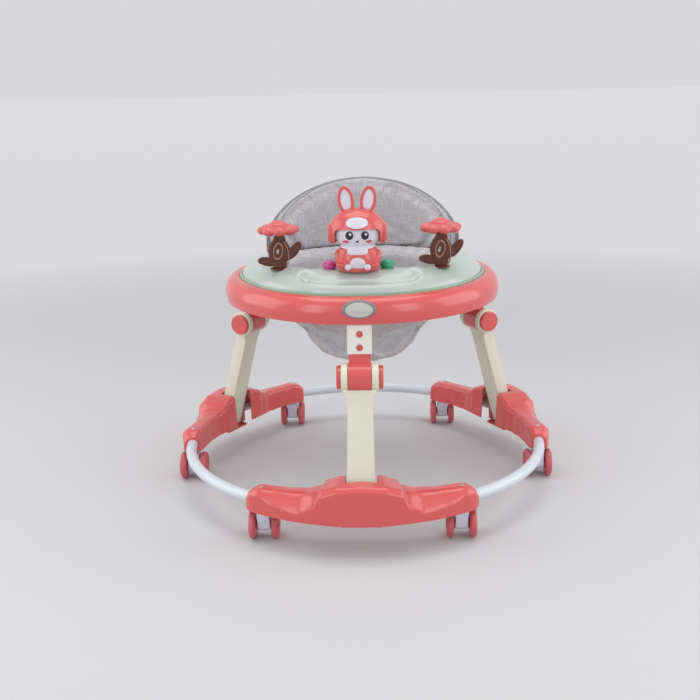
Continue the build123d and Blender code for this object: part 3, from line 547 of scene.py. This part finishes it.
rabbitLook = {
    "x": -2, "y": -156, "foot": 420.1, "headZ": 485, "neck": 462.6,
    "body": [(0, 0), (31, 0), (34, 2.5), (36.5, 12), (37, 22), (34, 32), (29.5, 39), (25, 42), (0, 42)],
    "bodyDepth": 0.71, "head": (39, 30, 31), "hood": (46, 37, 37.5), "hoodWall": 4.5, "brim": 6, "hoodFoot": -18,
    # upper and lower arm: half sizes, turns in degrees and place on the right side
    "limbs": [{"half": (7.5, 8.5, 14), "turns": [("Y", -16), ("X", 22)], "at": (30, -8, 22)},
              {"half": (11, 6, 5.2), "turns": [("Y", 14), ("Z", 26)], "at": (25, -19, 11)}],
    "paw": {"half": (5.6, 5.2, 5), "at": (15.5, -24.5, 9.5)},
    "collar": {"radius": 24.5, "wire": 4.2, "height": 39.5}, "bib": {"half": (17, 5, 9.5), "y": -20.5, "z": 34},
    "muff": {"radius": 15.5, "thick": 9, "x": 41},
    "ear": {"half": (13, 22.5), "thick": 11, "border": 4.2, "sunk": 2.2, "lean": 8, "x": 18, "z": 49},
    "windowHalf": 36.5, "eye": {"x": 12.5, "z": -4.0, "half": (6.2, 6.9), "glint": (1.9, 2.2)},
    "cheek": {"x": 18.5, "z": -14.5, "half": (5.2, 2.3)}, "nose": {"z": -14, "half": (2.4, 1.5)},
    "face": (39.5, 30, 31), "patch": {"z": 16.5, "half": (17.5, 8.5)},
    "belly": {"half": (12.5, 10), "z": 15, "shell": (38, 27.5, 24), "shellZ": 19},
}


def ball(half, at=(0, 0, 0), segments=48, rings=32):
    # an ellipsoid, open for more shaping
    obj = start("uv_sphere", segments=segments, ring_count=rings, radius=1)
    stretch(*[h * mm for h in half])
    move(*at)
    return obj


def ovalPlate(half, thick, steps=48):
    # an upright oval plate, open for more shaping, with faces to the front and back
    obj = start("circle", vertices=steps, radius=1, fill_type="NGON")
    turnBy(90, "X")
    stretch(half[0] * mm, 1, half[1] * mm)
    move(0, thick / 2, 0)
    pull(y=-thick * mm)
    tidyMesh()
    return obj


def lump(*shape):
    obj = ball(*shape)
    close()
    return obj


def decal(half, at, shell, name, finish, proud):
    # a thin raised patch that follows an ellipsoid, cut out by an upright oval seen from the front
    obj = lump([h + proud for h in shell["half"]], shell["at"], 96, 64)
    x, z = shell["at"][0] + at[0], shell["at"][2] + at[1]
    cutter = start("cylinder", vertices=64, radius=1, depth=1)
    turnBy(90, "X")
    stretch(half[0] * mm, 0.06, half[1] * mm)
    bpy.ops.transform.translate(value=(x * mm, shell["at"][1] * mm - 0.045, z * mm))
    close()
    cut(obj, cutter, "INTERSECT")
    roundEdges(obj, 0.35, 2, 50)
    keep(obj, name, "toy_tray", finish, "toy_white")


def cutAway(obj, low, high, corner=0.0):
    # takes a box, rounded if wanted, out of a piece
    cutter = start("cube", size=1)
    stretch(*[(b - a) * mm for a, b in zip(low, high)])
    bpy.ops.transform.translate(value=[(a + b) / 2 * mm for a, b in zip(low, high)])
    if corner:
        bpy.ops.mesh.bevel(offset=corner * mm, segments=6, affect="EDGES")
    close()
    cut(obj, cutter)


def fuse(parts, voxel, smooth=4):
    # melts overlapping lumps into one skin
    obj = joinAll(parts)
    modify(obj, "REMESH", mode="VOXEL", voxel_size=voxel * mm)
    modify(obj, "SMOOTH", factor=0.6, iterations=smooth)
    return obj


def makeRabbitBody(look):
    x, y, foot = look["x"], look["y"], look["foot"]
    body = lathe(look["body"], corner=2)
    bpy.ops.object.mode_set(mode="EDIT")
    selectAll()
    stretch(1, look["bodyDepth"], 1, center_override=(0, 0, 0))
    move(x, y, foot)
    close()
    lumps = [body]
    for side in (-1, 1):
        for limb in look["limbs"]:
            obj = ball(limb["half"])
            for axis, degrees in limb["turns"]:
                turnBy(side * degrees if axis != "X" else degrees, axis)
            dx, dy, dz = limb["at"]
            move(x + side * dx, y + dy, foot + dz)
            close()
            lumps.append(obj)
    keep(fuse(lumps, 1.0, 5), "rabbitBody", "toy_tray", "toyCoral", "toy_coral", "rabbit_body", angle=0)

    dx, dy, dz = look["paw"]["at"]
    for side in (-1, 1):
        paw = lump(look["paw"]["half"], (x + side * dx, y + dy, foot + dz))
        keep(paw, "rabbitPaw" + ("L" if side < 0 else "R"), "toy_tray", "toyWhite", "toy_white", angle=0)

    ring = look["collar"]
    collar = start("torus", major_radius=ring["radius"] * mm, minor_radius=ring["wire"] * mm, major_segments=72,
                   minor_segments=20)
    stretch(1, 0.8, 1.0, center_override=(0, 0, 0))
    move(x, y, foot + ring["height"])
    close()
    bib = lump(look["bib"]["half"], (x, y + look["bib"]["y"], foot + look["bib"]["z"]))
    keep(fuse([collar, bib], 0.9, 4), "rabbitCollar", "toy_tray", "toyWhite", "toy_white", angle=0)
    belly = look["belly"]
    shell = {"half": belly["shell"], "at": (x, y, foot + belly["shellZ"])}
    decal(belly["half"], (0, belly["z"] - belly["shellZ"]), shell, "rabbitBelly", "toyWhite", 0.8)


def makeRabbitHead(look):
    x, y, headZ = look["x"], look["y"], look["headZ"]
    centre = (x, y, headZ)
    head = lump(look["head"], centre, 64, 48)
    for point in head.data.vertices:                     # fuller cheeks, a small chin
        low = (headZ * mm - point.co.z) / (look["head"][2] * mm)
        swell = 1 + 0.05 * math.exp(-((low - 0.35) / 0.3) ** 2) - 0.1 * max(0, low - 0.6)
        point.co.x = x * mm + (point.co.x - x * mm) * swell
    cutAway(head, (-80, -260, 400), (80, -90, look["neck"]))
    keep(head, "rabbitHead", "toy_tray", "toyWhite", "toy_white", "rabbit_head", angle=50)

    hood = lump(look["hood"], centre, 96, 64)
    cut(hood, lump([h - look["hoodWall"] for h in look["hood"]], centre, 96, 64))
    cutAway(hood, (-80, -260, 400), (80, -90, headZ + look["hoodFoot"]))
    half = look["windowHalf"]
    cutAway(hood, (x - half, y - 70, headZ - 60), (x + half, y - 4, headZ + look["brim"]), 7)
    roundEdges(hood, 1.1, 3, 45)
    keep(hood, "rabbitHood", "toy_tray", "toyCoral", "toy_coral", "rabbit_hood", angle=40)

    for side, tag in ((-1, "L"), (1, "R")):
        disc = look["muff"]
        muff = start("cylinder", vertices=56, radius=disc["radius"] * mm, depth=disc["thick"] * mm)
        turnBy(90, "Y")
        stretch(1, 0.82, 1.12)
        pick(muff, lambda at, n: side * n.x > 0.9)
        bpy.ops.mesh.inset(thickness=2.5 * mm)
        pull(x=side * 2.2 * mm)
        stretch(1, 0.8, 0.8)
        selectAll()
        move(x + side * disc["x"], y - 2, headZ - 3)
        close()
        roundEdges(muff, 1.8, 4, 30)
        keep(muff, "rabbitMuff" + tag, "toy_tray", "toyCoral", "toy_coral", angle=45)

        shape = look["ear"]
        ear = ovalPlate(shape["half"], shape["thick"], 72)
        pick(ear, lambda at, n: n.y < -0.9)
        bpy.ops.mesh.inset(thickness=shape["border"] * mm)
        pull(y=shape["sunk"] * mm)
        selectAll()
        turnBy(-side * shape["lean"], "Y")
        move(x + side * shape["x"], y, headZ + shape["z"])
        close()
        roundEdges(ear, 2.6, 5, 50)
        keep(ear, "rabbitEar" + tag, "toy_tray", ["toyCoral", "earWhite"], "toy_coral", angle=45)
        middle = Vector((x + side * shape["x"], 0, headZ + shape["z"])) * mm
        for face in ear.data.polygons:                   # the sunk inner faces
            across = Vector(((face.center.x - middle.x) / (9 * mm), (face.center.z - middle.z) / (18.4 * mm)))
            if face.normal.y < -0.9 and across.length < 1 and face.center.y > y * mm - 4.4 * mm:
                face.material_index = 1

    shell = {"half": look["face"], "at": centre}
    eye, cheek, nose, patch = look["eye"], look["cheek"], look["nose"], look["patch"]
    for side, tag in ((-1, "L"), (1, "R")):
        decal(eye["half"], (side * eye["x"], eye["z"]), shell, "rabbitEye" + tag, "eyeBlack", 0.9)
        decal(eye["glint"], (side * eye["x"] + 1.4, eye["z"] + 2), shell, "rabbitEyeGlint" + tag, "toyWhite", 1.3)
        decal(cheek["half"], (side * cheek["x"], cheek["z"]), shell, "rabbitCheek" + tag, "cheekPink", 0.7)
    decal(nose["half"], (0, nose["z"]), shell, "rabbitNose", "eyeBlack", 0.8)
    decal(patch["half"], (0, patch["z"]), {"half": look["hood"], "at": centre}, "rabbitPatch", "toyWhite", 0.7)


makeRabbitBody(rabbitLook)
makeRabbitHead(rabbitLook)
print("rabbit ready")

# trees with their spinning flowers

treeLook = {
    "x": 134, "y": -118, "foot": 416.3, "thick": 10,
    "base": [(0, 0), (16, 0), (16, 2), (13.5, 3.2), (9, 4), (0, 4)],
    "pin": [(0, 57), (3, 57), (3, 68), (0, 68.7)],
    # ovals of the trunk and leaves: half sizes, thickness, sideways, height, tilt in degrees
    "ovals": [((18, 23), 10, 0, 30, 0), ((10.5, 14), 10, 2, 11, -8), ((11, 14), 10, 1, 46, 0),
              ((16.5, 7.6), 8, -20, 13, -10), ((18, 7.8), 8, 25, 31, 52), ((8, 4.5), 8, 13, 19, 45)],
}
flowerLook = {
    "foot": 474.6, "lobes": 8, "ring": 23.5, "lobe": (11.5, 11.5, 7.5), "lobeHeight": 7.6,
    "domes": [((25, 25, 8), 8), ((17.5, 17.5, 8), 14.5), ((11.5, 11.5, 6), 18)],
}


def ovalSlab(half, thick, at, tilt=0.0, edge=2.4):
    # an oval plate with rolled edges, tilted and set in place
    obj = ovalPlate(half, thick)
    turnBy(tilt, "Y")
    move(*at)
    close()
    roundEdges(obj, edge, 3, 50)
    return obj


def ringLine(half, at, tilt, wire, keepPart=None):
    # a thin oval line of round section, of which a part may be kept
    obj = start("torus", major_radius=1, minor_radius=wire / half[0], major_segments=96, minor_segments=10)
    turnBy(90, "X")
    stretch(half[0] * mm, half[0] * mm, half[1] * mm)
    if keepPart:
        pick(obj, lambda middle, n: not keepPart(middle.x / mm, middle.z / mm))
        bpy.ops.mesh.delete(type="FACE")
        selectAll()
        bpy.ops.mesh.fill_holes(sides=0)
        tidyMesh()
    selectAll()
    turnBy(tilt, "Y")
    move(*at)
    close()
    return obj


def makeTree(look, side, tag):
    x, y, foot = side * look["x"], look["y"], look["foot"]
    lumps = [lathe(look["base"], (x, y, foot), 56, 0.8)]
    lumps += [ovalSlab(half, thick, (x + dx, y, foot + dz), tilt) for half, thick, dx, dz, tilt in look["ovals"]]
    slit = ovalSlab((2.4, 5), 30, (x - 2, y, foot + 30), -12, 0.5)
    trunk = fuse(lumps, 0.8, 3)
    cut(trunk, slit)
    trunk = joinAll([trunk, lathe(look["pin"], (x, y, foot), 24)])
    keep(trunk, "treeTrunk" + tag, "toy_tray", "brownPlastic", "brown_plastic", "tree_" + tag.lower(), angle=60)
    lines = []
    for back in (-1, 1):                                 # raised vein lines; their paler brown is a painted highlight along the ridges
        face = y + back * (look["thick"] / 2 - 0.15)
        leafFace = face - back * 0.9
        lines += [ringLine((7.4, 13.5), (x - 1, face, foot + 31), -10, 0.8),
                  ringLine((14, 27), (x + 2, face, foot + 25), 4, 0.7, lambda u, w: u > -1 and -20 < w < 21),
                  ringLine((10.5, 1.2), (x - 19, leafFace, foot + 12), -10, 0.45),
                  ringLine((11.5, 1.2), (x + 25.5, leafFace, foot + 31.5), 52, 0.45)]
    keep(joinAll(lines), "treeGrooves" + tag, "toy_tray", "grooveBrown", "brown_plastic", angle=0)


def makeFlower(look, side, tag):
    x, y, foot, ring = side * treeLook["x"], treeLook["y"], look["foot"], look["ring"]
    lumps = []
    for count in range(look["lobes"]):
        turn = 2 * math.pi * (count + 0.25) / look["lobes"]
        at = (x + ring * math.cos(turn), y + ring * math.sin(turn), foot + look["lobeHeight"])
        lumps.append(lump(look["lobe"], at, 24, 16))
    lumps += [lump(half, (x, y, foot + height), 40, 24) for half, height in look["domes"]]
    flower = "flower_" + tag.lower()
    keep(fuse(lumps, 1.0, 2), "flowerHead" + tag, flower, "flowerCoral", "flower_coral", flower, angle=0)


for side, tag in ((1, "Left"), (-1, "Right")):
    makeTree(treeLook, side, tag)
    makeFlower(flowerLook, side, tag)
print("trees and flowers ready")


# legs: two hinge ears on a tapered channel with a rounded shoulder

legLook = {
    "knee": (255, 268), "lean": 16.7, "ear": {"radius": 22.5, "inner": 19.0, "outer": 29.6},
    # distance down from the hinge, width, thickness (mm)
    "sections": [(15, 56, 20), (21, 53, 21), (26, 45, 22.6), (33, 40.4, 23.6), (48, 39.6, 23.8),
                 (120, 42, 23.8), (227.4, 44.6, 23.8)],
    "barrelSpace": (23.1, 19.0), "recess": {"border": 5.5, "depth": 1.6},
}


def makeLeg(look):
    ear, sections = look["ear"], look["sections"]
    leg = start("cube", size=1)
    z0, w0, t0 = sections[0]
    stretch(t0 * mm, w0 * mm, 1 * mm)
    move(0, 0, -(z0 + 0.5))
    for (zA, wA, tA), (zB, wB, tB) in zip(sections, sections[1:]):
        pick(leg, lambda at, n: n.z < -0.9)
        pull(z=(zA - zB) * mm)
        stretch(tB / tA, wB / wA, 1)
    pick(leg, lambda at, n: n.x > 0.9 and at.z < -sections[3][0] * mm)
    bpy.ops.mesh.inset(thickness=look["recess"]["border"] * mm)
    move(-look["recess"]["depth"], 0, 0)
    close()
    roundEdges(leg, 1.9, 4, 40)
    radius, half = look["barrelSpace"]
    cutter = start("cylinder", vertices=96, radius=radius * mm, depth=2 * half * mm)
    close()
    cutter.data.transform(Matrix.Rotation(math.radians(90), 4, "X"))
    cut(leg, cutter)
    ears = []
    for side in (-1, 1):
        disc = start("cylinder", vertices=96, radius=ear["radius"] * mm, depth=(ear["outer"] - ear["inner"]) * mm)
        close()
        disc.data.transform(Matrix.Translation((0, side * (ear["inner"] + ear["outer"]) / 2 * mm, 0))
                            @ Matrix.Rotation(math.radians(90), 4, "X"))
        roundEdges(disc, 1.3, 3, 40)
        ears.append(disc)
    leg = joinAll([leg] + ears)
    leg.data.transform(Matrix.Translation((look["knee"][0] * mm, 0, look["knee"][1] * mm))
                       @ Matrix.Rotation(math.radians(-look["lean"]), 4, "Y"))
    return leg


leg = makeLeg(legLook)
for side, azimuth in stations.items():
    keep(copyPiece(leg, azimuth), "leg" + side.capitalize(), "leg_" + side, "creamPlastic", "cream_plastic",
         "leg_" + side, angle=35)
bpy.data.objects.remove(leg)
print("legs ready")

# toy tray: a sloping wall, a plateau with wavy terraces and a dish, and the console's bulge

toyLook = {
    "half": 100, "outer": 211.6, "inner": 152, "deck": 380.3, "top": 420, "wall": 2.2,
    "console": {"x": -2, "y": -150, "a": 72, "b": 42},
    # distance in from the outer wall, drop under the plateau (mm)
    "slope": [(0, 39.5), (0.1, 30), (0.8, 26), (4, 21), (8, 17), (14, 12), (22, 7), (30, 2.6), (36, 0.6), (40, 0)],
    # the dish in front of the console (degrees to each side, mm deep) and its lip, then waves beside it
    "dish": {"half": 25, "depth": 9, "edge": 7}, "lip": {"height": 1.8, "away": 6.5, "width": 3.2},
    "terraces": [(34.5, 2.8), (42, 1.8)], "wave": 2.0, "brim": 5, "soften": 14,
    "rows": [0, 0.1, 0.35, 0.8, 2, 4, 6, 8, 10.5, 13, 15.5, 18, 20.5, 23, 25.5, 28, 30.5, 33, 35.5, 38, 41, 44, 48],
}


def toyInner(turn, look):
    # inner edge: the opening's circle, or the console's ellipse where that reaches further in
    c = look["console"]
    a, b = c["a"], c["b"]
    dx, dy = math.sin(turn), -math.cos(turn)
    qa = (dx / a) ** 2 + (dy / b) ** 2
    qb = -2 * (dx * c["x"] / a ** 2 + dy * c["y"] / b ** 2)
    qc = (c["x"] / a) ** 2 + (c["y"] / b) ** 2 - 1
    found = qb * qb - 4 * qa * qc
    reach = (-qb - math.sqrt(found)) / (2 * qa) if found > 0 and dy < 0 else 400
    soft = look["soften"]
    share = min(1, max(0, 0.5 + (look["inner"] - reach) / (2 * soft)))
    return look["inner"] + (reach - look["inner"]) * share - soft * share * (1 - share)


def toyHeight(turn, inwards, look):
    # top surface, with the dish in front of the console and a wavy terrace on either side
    angle = abs(math.degrees(turn))
    for (d0, h0), (d1, h1) in zip(look["slope"], look["slope"][1:]):
        if inwards <= d1:
            drop = h0 + (h1 - h0) * (inwards - d0) / (d1 - d0)
            break
    else:
        drop = 0
    ring = ease((inwards - 10) / 10) * ease((50 - inwards) / 14)
    dish, edge = look["dish"], look["lip"]
    wave = look["wave"] * math.sin(inwards * 0.16 + 0.6)
    sunk = dish["depth"] * (1 - ease((angle - dish["half"] + wave) / dish["edge"]))
    lip = edge["height"] * math.exp(-((angle - dish["half"] - edge["away"] + wave) / edge["width"]) ** 2)
    for at, rise in look["terraces"]:
        lip += rise * 0.5 * math.exp(-((angle - at + 1.4 * wave) / 2.6) ** 2)
    return look["top"] - drop - ring * (sunk * min(1, 0.45 + drop / 9) - lip)


def makeToyTray(look):
    rows, brim = look["rows"], look["brim"]
    count = len(rows) + 9
    obj = start("grid", x_subdivisions=260, y_subdivisions=count, size=1)

    def place(u, v):
        turn = math.radians(look["half"] * (2 * u - 1))
        edge = toyInner(turn, look)
        step = round(v * count)
        width = look["outer"] - edge
        if step < len(rows):
            inwards = rows[step] * min(1, (width - 6) / rows[-1])
            r, z = look["outer"] - inwards, toyHeight(turn, inwards, look)
        else:                                            # rounded brim, then down the inner wall
            lean = min(1, (step - len(rows)) / 6) * math.pi / 2
            r = edge + brim - brim * math.sin(lean)
            z = look["top"] - brim + brim * math.cos(lean)
            if step > len(rows) + 6:
                z -= (look["top"] - brim - look["deck"]) * (step - len(rows) - 6) / (count - len(rows) - 6)
        return Vector((r * math.sin(turn), -r * math.cos(turn), z)) * mm

    shapeGrid(obj, place)
    tidyMesh()
    close()
    modify(obj, "SOLIDIFY", thickness=look["wall"] * mm, offset=-1)
    keep(obj, "toyTrayTop", "toy_tray", "mintPlastic", "mint_plastic", "toy_tray", angle=50)


makeToyTray(toyLook)

# badge: a bare oval plate in a raised ring, bent to the rim

badgeLook = {
    "half": (27.4, 13.9), "height": 373.5, "steps": 28,
    "rim": [(239.5, 349), (241.4, 357.5), (242, 367), (239.5, 377.5), (233, 386), (225, 390)],
    # share of the way out, proud of the rim (mm)
    "section": [(0, 1.3), (0.3, 1.3), (0.76, 1.2), (0.79, 1.9), (0.84, 2.35), (0.92, 2.35), (0.97, 1.9), (1, -0.5)],
}


def rimRadius(z, look):
    for (r0, z0), (r1, z1) in zip(look["rim"], look["rim"][1:]):
        if z <= z1:
            share = (z - z0) / (z1 - z0)
            return r0 + (r1 - r0) * share + 0.9 * math.sin(math.pi * min(1, max(0, share)))
    return look["rim"][-1][0]


def makeBadge(look):
    rings = look["steps"]
    obj = start("grid", x_subdivisions=96, y_subdivisions=rings, size=1)

    def place(u, v):
        proud = between(look["section"], v)[0]
        x = look["half"][0] * v * math.cos(2 * math.pi * u)
        z = look["height"] + look["half"][1] * v * math.sin(2 * math.pi * u)
        r = rimRadius(z, look) + proud
        return Vector((x, -math.sqrt(r * r - x * x), z)) * mm

    shapeGrid(obj, place)
    tidyMesh()
    close()
    keep(obj, "badgePlate", "tray", ["badgePlate", "badgeRing"], "badge_grey", "badge", angle=40)
    for face in obj.data.polygons:
        away = Vector((face.center.x / (look["half"][0] * mm), (face.center.z - look["height"] * mm)
                       / (look["half"][1] * mm))).length
        face.material_index = 1 if away > 0.78 else 0


makeBadge(badgeLook)

# press buttons: domes with a rolled foot on a round stem

pressLook = {
    "middle": -2, "apart": 47, "y": -138, "foot": 423.3,
    "dome": [(0, 0), (12.4, 0), (13, 1), (13, 2.4), (12.2, 5.2), (9.8, 8.2), (6.2, 10.2), (2.6, 11), (0, 11.1)],
    "stem": [(0, -9), (9.8, -9), (9.8, 1), (0, 1)],
}
for side, tag, finish, slot in ((-1, "left", "magentaPlastic", "magenta_plastic"),
                                (1, "right", "greenPlastic", "green_plastic")):
    at = (pressLook["middle"] + side * pressLook["apart"], pressLook["y"], pressLook["foot"])
    button = joinAll([lathe(pressLook["dome"], at), lathe(pressLook["stem"], at, 48)])
    keep(button, "pressDome" + tag.capitalize(), "press_" + tag, finish, slot, "press_button_" + tag, angle=40)
print("toy tray, badge and buttons ready")

# soft goods: closed shells, filled with air as cloth, then creased

softLook = {
    "seat": {"voxel": 4.4, "air": 3.0, "frames": 16, "cap": 5, "fill": 0.35},
    "back": {"voxel": 4.6, "air": 4.0, "frames": 18, "cap": 6, "fill": 0.55},
}


def closedRing(turns, section, caps):
    # sweeps a closed section of (radius, height) rows round the upright axis
    count, around = len(section(0)), len(turns)
    obj = start("grid", x_subdivisions=around - 1, y_subdivisions=count, size=1)

    def place(u, v):
        turn = turns[round(u * (around - 1))]
        r, z = section(turn)[round(v * count) % count]
        return Vector((r * math.cos(turn), r * math.sin(turn), z)) * mm

    shapeGrid(obj, place)
    tidyMesh()
    if caps:
        selectAll()
        bpy.ops.mesh.fill_holes(sides=0)
        tidyMesh()
    close()
    return obj


def puff(obj, look, held):
    # blows a shell up as cloth; points that held() names stay, and no point moves past the cap
    modify(obj, "REMESH", mode="VOXEL", voxel_size=look["voxel"] * mm)
    modify(obj, "SMOOTH", factor=0.5, iterations=3)
    before = [point.co.copy() for point in obj.data.vertices]
    group = obj.vertex_groups.new(name="held")
    group.add([i for i, at in enumerate(before) if held(at / mm)], 1.0, "REPLACE")
    cloth = obj.modifiers.new("air", "CLOTH")
    cloth.settings.use_pressure = True
    cloth.settings.uniform_pressure_force = look["air"]
    cloth.settings.effector_weights.gravity = 0
    cloth.settings.vertex_group_mass = "held"
    cloth.settings.quality = 4
    cloth.collision_settings.use_collision = False
    for count in range(1, look["frames"] + 1):
        bpy.context.scene.frame_set(count)
    bpy.context.view_layer.objects.active = obj
    bpy.ops.object.modifier_apply(modifier="air")
    bpy.context.scene.frame_set(1)
    for point, rest in zip(obj.data.vertices, before):
        moved = point.co - rest
        if moved.length > look["cap"] * mm:
            point.co = rest + moved.normalized() * look["cap"] * mm
    obj.vertex_groups.clear()


def divide(obj):
    # one round of subdivision
    bpy.ops.object.select_all(action="DESELECT")
    obj.select_set(True)
    bpy.context.view_layer.objects.active = obj
    bpy.ops.object.mode_set(mode="EDIT")
    selectAll()
    bpy.ops.mesh.subdivide(number_cuts=1, smoothness=0.6)
    close()


def crease(obj, lines, flat):
    # presses soft folds: each line is two ends on the flat map, depth and half width in mm
    normals = [point.normal.copy() for point in obj.data.vertices]
    for point, normal in zip(obj.data.vertices, normals):
        at = flat(point.co / mm)
        if at is None:
            continue
        push = 0.0
        for a, b, depth, width in lines:
            a, b = Vector(a), Vector(b)
            along = (at - a).dot(b - a) / (b - a).length_squared
            share = min(1, max(0, along))
            away = (at - a - (b - a) * share).length / width
            fade = math.sin(math.pi * min(1, max(0, 0.12 + 0.76 * share)))
            push += depth * fade * (math.exp(-away ** 2) - 0.45 * math.exp(-((away - 1.8) / 0.9) ** 2))
        point.co -= normal * push * mm


def tube(points, radius):
    # a round cord through given points
    curve = bpy.data.curves.new("line", "CURVE")
    curve.dimensions, curve.bevel_depth, curve.bevel_resolution = "3D", radius * mm, 3
    spline = curve.splines.new("NURBS")
    spline.points.add(len(points) - 1)
    for point, at in zip(spline.points, points):
        point.co = (*[a * mm for a in at], 1)
    spline.order_u, spline.use_endpoint_u = 3, True
    curve.resolution_u = 4
    line = bpy.data.objects.new("line", curve)
    bpy.context.collection.objects.link(line)
    bpy.ops.object.select_all(action="DESELECT")
    line.select_set(True)
    bpy.context.view_layer.objects.active = line
    bpy.ops.object.convert(target="MESH")
    return bpy.context.object


backLook = {
    "radii": (189.5, 207), "foot": 393.5, "top": 534.5, "half": 180.5, "base": 425, "swell": 2.5, "piping": 1.5,
    # two ends of each crease across and up, its depth and half width
    "creases": [((150, 470), (108, 400), 4.6, 6), ((165, 440), (128, 398), 3.4, 5),
                ((-150, 455), (-118, 402), 4.0, 6),
                ((-60, 500), (-20, 415), 1.2, 8), ((70, 520), (40, 430), 1.2, 9), ((20, 460), (95, 420), 1.4, 7),
                ((-120, 490), (-90, 430), 1.3, 7), ((-160, 430), (-140, 398), 2.4, 5),
                ((118, 410), (60, 399), 2.6, 4), ((-150, 398), (150, 398), 5.0, 5)],
}


def archTop(x, look):
    # the backrest's upper edge, an oval arch
    share = min(0.999, abs(x) / look["half"])
    return look["base"] + (look["top"] - look["base"]) * math.sqrt(1 - share ** 2)


def makeBackrest(look):
    inner, outer = look["radii"]
    reach = math.asin(look["half"] / outer) - 0.004
    turns = [math.pi / 2 - reach + 2 * reach * i / 90 for i in range(91)]

    def section(turn):
        top = archTop(outer * math.cos(turn), look)
        rows = []
        for r, back in ((inner, False), (outer, True)):
            side = []
            for step in range(13):
                z = look["foot"] + (top - look["foot"]) * step / 12
                swell = look["swell"] * math.sin(math.pi * step / 12) * (0.4 if back else -1)
                side.append((r + swell, z))
            rows += side if not back else side[::-1]
        return rows

    obj = closedRing(turns, section, True)
    puff(obj, softLook["back"], lambda at: at.z < look["foot"] + 3)
    divide(obj)

    def flat(at):
        return Vector((at.x, at.z)) if math.hypot(at.x, at.y) < (inner + outer) / 2 else None

    crease(obj, look["creases"], flat)
    modify(obj, "SMOOTH", factor=0.5, iterations=1)
    keep(obj, "backrestPad", "tray", "greyLinen", "grey_linen", "backrest_cover", angle=0)
    for tag, r, lift in (("Front", inner - 0.5, 0.0), ("Back", outer - 1.0, -1.5)):
        points = []
        for step in range(41):
            x = -(look["half"] - 1) * math.cos(math.pi * step / 40)
            turn = math.asin(x / outer)
            points.append((r * math.sin(turn), r * math.cos(turn), archTop(x, look) + lift))
        ends = [(points[i][0], points[i][1], look["foot"] + 1) for i in (0, -1)]
        keep(tube(ends[:1] + points + ends[1:], look["piping"]), "backrestPiping" + tag, "tray", "darkPiping",
             "grey_linen", angle=0)


seatLook = {
    "outer": [(148, 374), (148, 345), (135.5, 318), (108, 289), (90, 260), (68, 242), (42, 234), (0, 232)],
    "thick": 9, "gathers": 26, "rumple": 2.2, "hole": {"x": 62, "y": -80, "z": 272, "radius": 42, "tilt": 55},
    "apron": {"half": 84, "rows": [(188, 392.6), (166, 393), (154, 393), (148.3, 391), (148, 372), (139, 372),
                                   (140.5, 391), (146, 400), (156, 403.5), (170, 404), (180, 402), (187, 397)]},
    "folds": [((-100, 330), (-30, 290), 5.0, 5), ((-88, 300), (-24, 270), 4.0, 4), ((30, 296), (112, 334), 5.0, 5),
              ((26, 272), (92, 304), 4.0, 4), ((14, 256), (78, 276), 2.6, 5), ((-66, 262), (-18, 256), 2.6, 5)],
}


def makeSeat(look):
    shell, thick = [], look["thick"]
    for inner in (False, True):
        row = []
        for (r0, z0), (r1, z1) in zip(look["outer"], look["outer"][1:]):
            for step in range(5):
                share = step / 5
                r, z = r0 + (r1 - r0) * share, z0 + (z1 - z0) * share
                if inner:                                # the lining stands off the outer cloth
                    r -= thick if z > 330 else thick * 0.72
                    z += thick * 0.75 if z < 335 else 0
                row.append((max(0.4, r), z))
        shell += row[::-1] if inner else row
    sling = closedRing([2 * math.pi * i / 144 for i in range(145)], lambda turn: shell, False)
    hole = look["hole"]
    for side in (-1, 1):
        cutter = start("cylinder", vertices=64, radius=hole["radius"] * mm, depth=0.11)
        close()
        cutter.data.transform(Matrix.Translation(Vector((side * hole["x"], hole["y"], hole["z"])) * mm)
                              @ Matrix.Rotation(math.radians(-hole["tilt"]), 4, "X"))
        cut(sling, cutter)
    apron = look["apron"]
    reach = math.radians(apron["half"])
    around = [math.pi / 2 - reach + 2 * reach * i / 80 for i in range(81)]
    flap = closedRing(around, lambda turn: apron["rows"], True)
    seat = joinAll([sling, flap])
    puff(seat, softLook["seat"], lambda at: at.z > 366 and at.z < 389)
    divide(seat)
    normals = [point.normal.copy() for point in seat.data.vertices]
    for point, normal in zip(seat.data.vertices, normals):    # gathers and a soft sag, the same each run
        at = point.co / mm
        turn = math.atan2(at.y, at.x)
        depth = ease((376 - at.z) / 40)
        band = ease((385 - at.z) / 20) * ease((at.z - 300) / 50)
        gather = math.sin(turn * look["gathers"] + 2.2 * math.sin(turn * 5)) * 0.8 * band
        rumple = noise.fractal(Vector((turn * 3.2, at.z * 0.022, 1.7)), 0.6, 2.1, 4) * look["rumple"] * depth
        if at.z > 389:
            gather, rumple = 0, noise.fractal(at * 0.045, 0.6, 2.1, 3) * 1.6
        point.co -= normal * (gather + rumple) * mm
    profile = [(z, r) for r, z in reversed(look["outer"])]

    def flat(at):    # the front's outer side, and the back's inner side, seen through the leg openings
        if at.z > 366:
            return None
        outside = math.hypot(at.x, at.y) > between(profile, at.z)[0] - 3.5
        return Vector((at.x, at.z)) if outside == (at.y < 0) else None

    crease(seat, look["folds"], flat)
    keep(seat, "seatSling", "tray", "greyLinen", "grey_linen", "seat", angle=0)


makeBackrest(backLook)
makeSeat(seatLook)
print("soft goods ready")
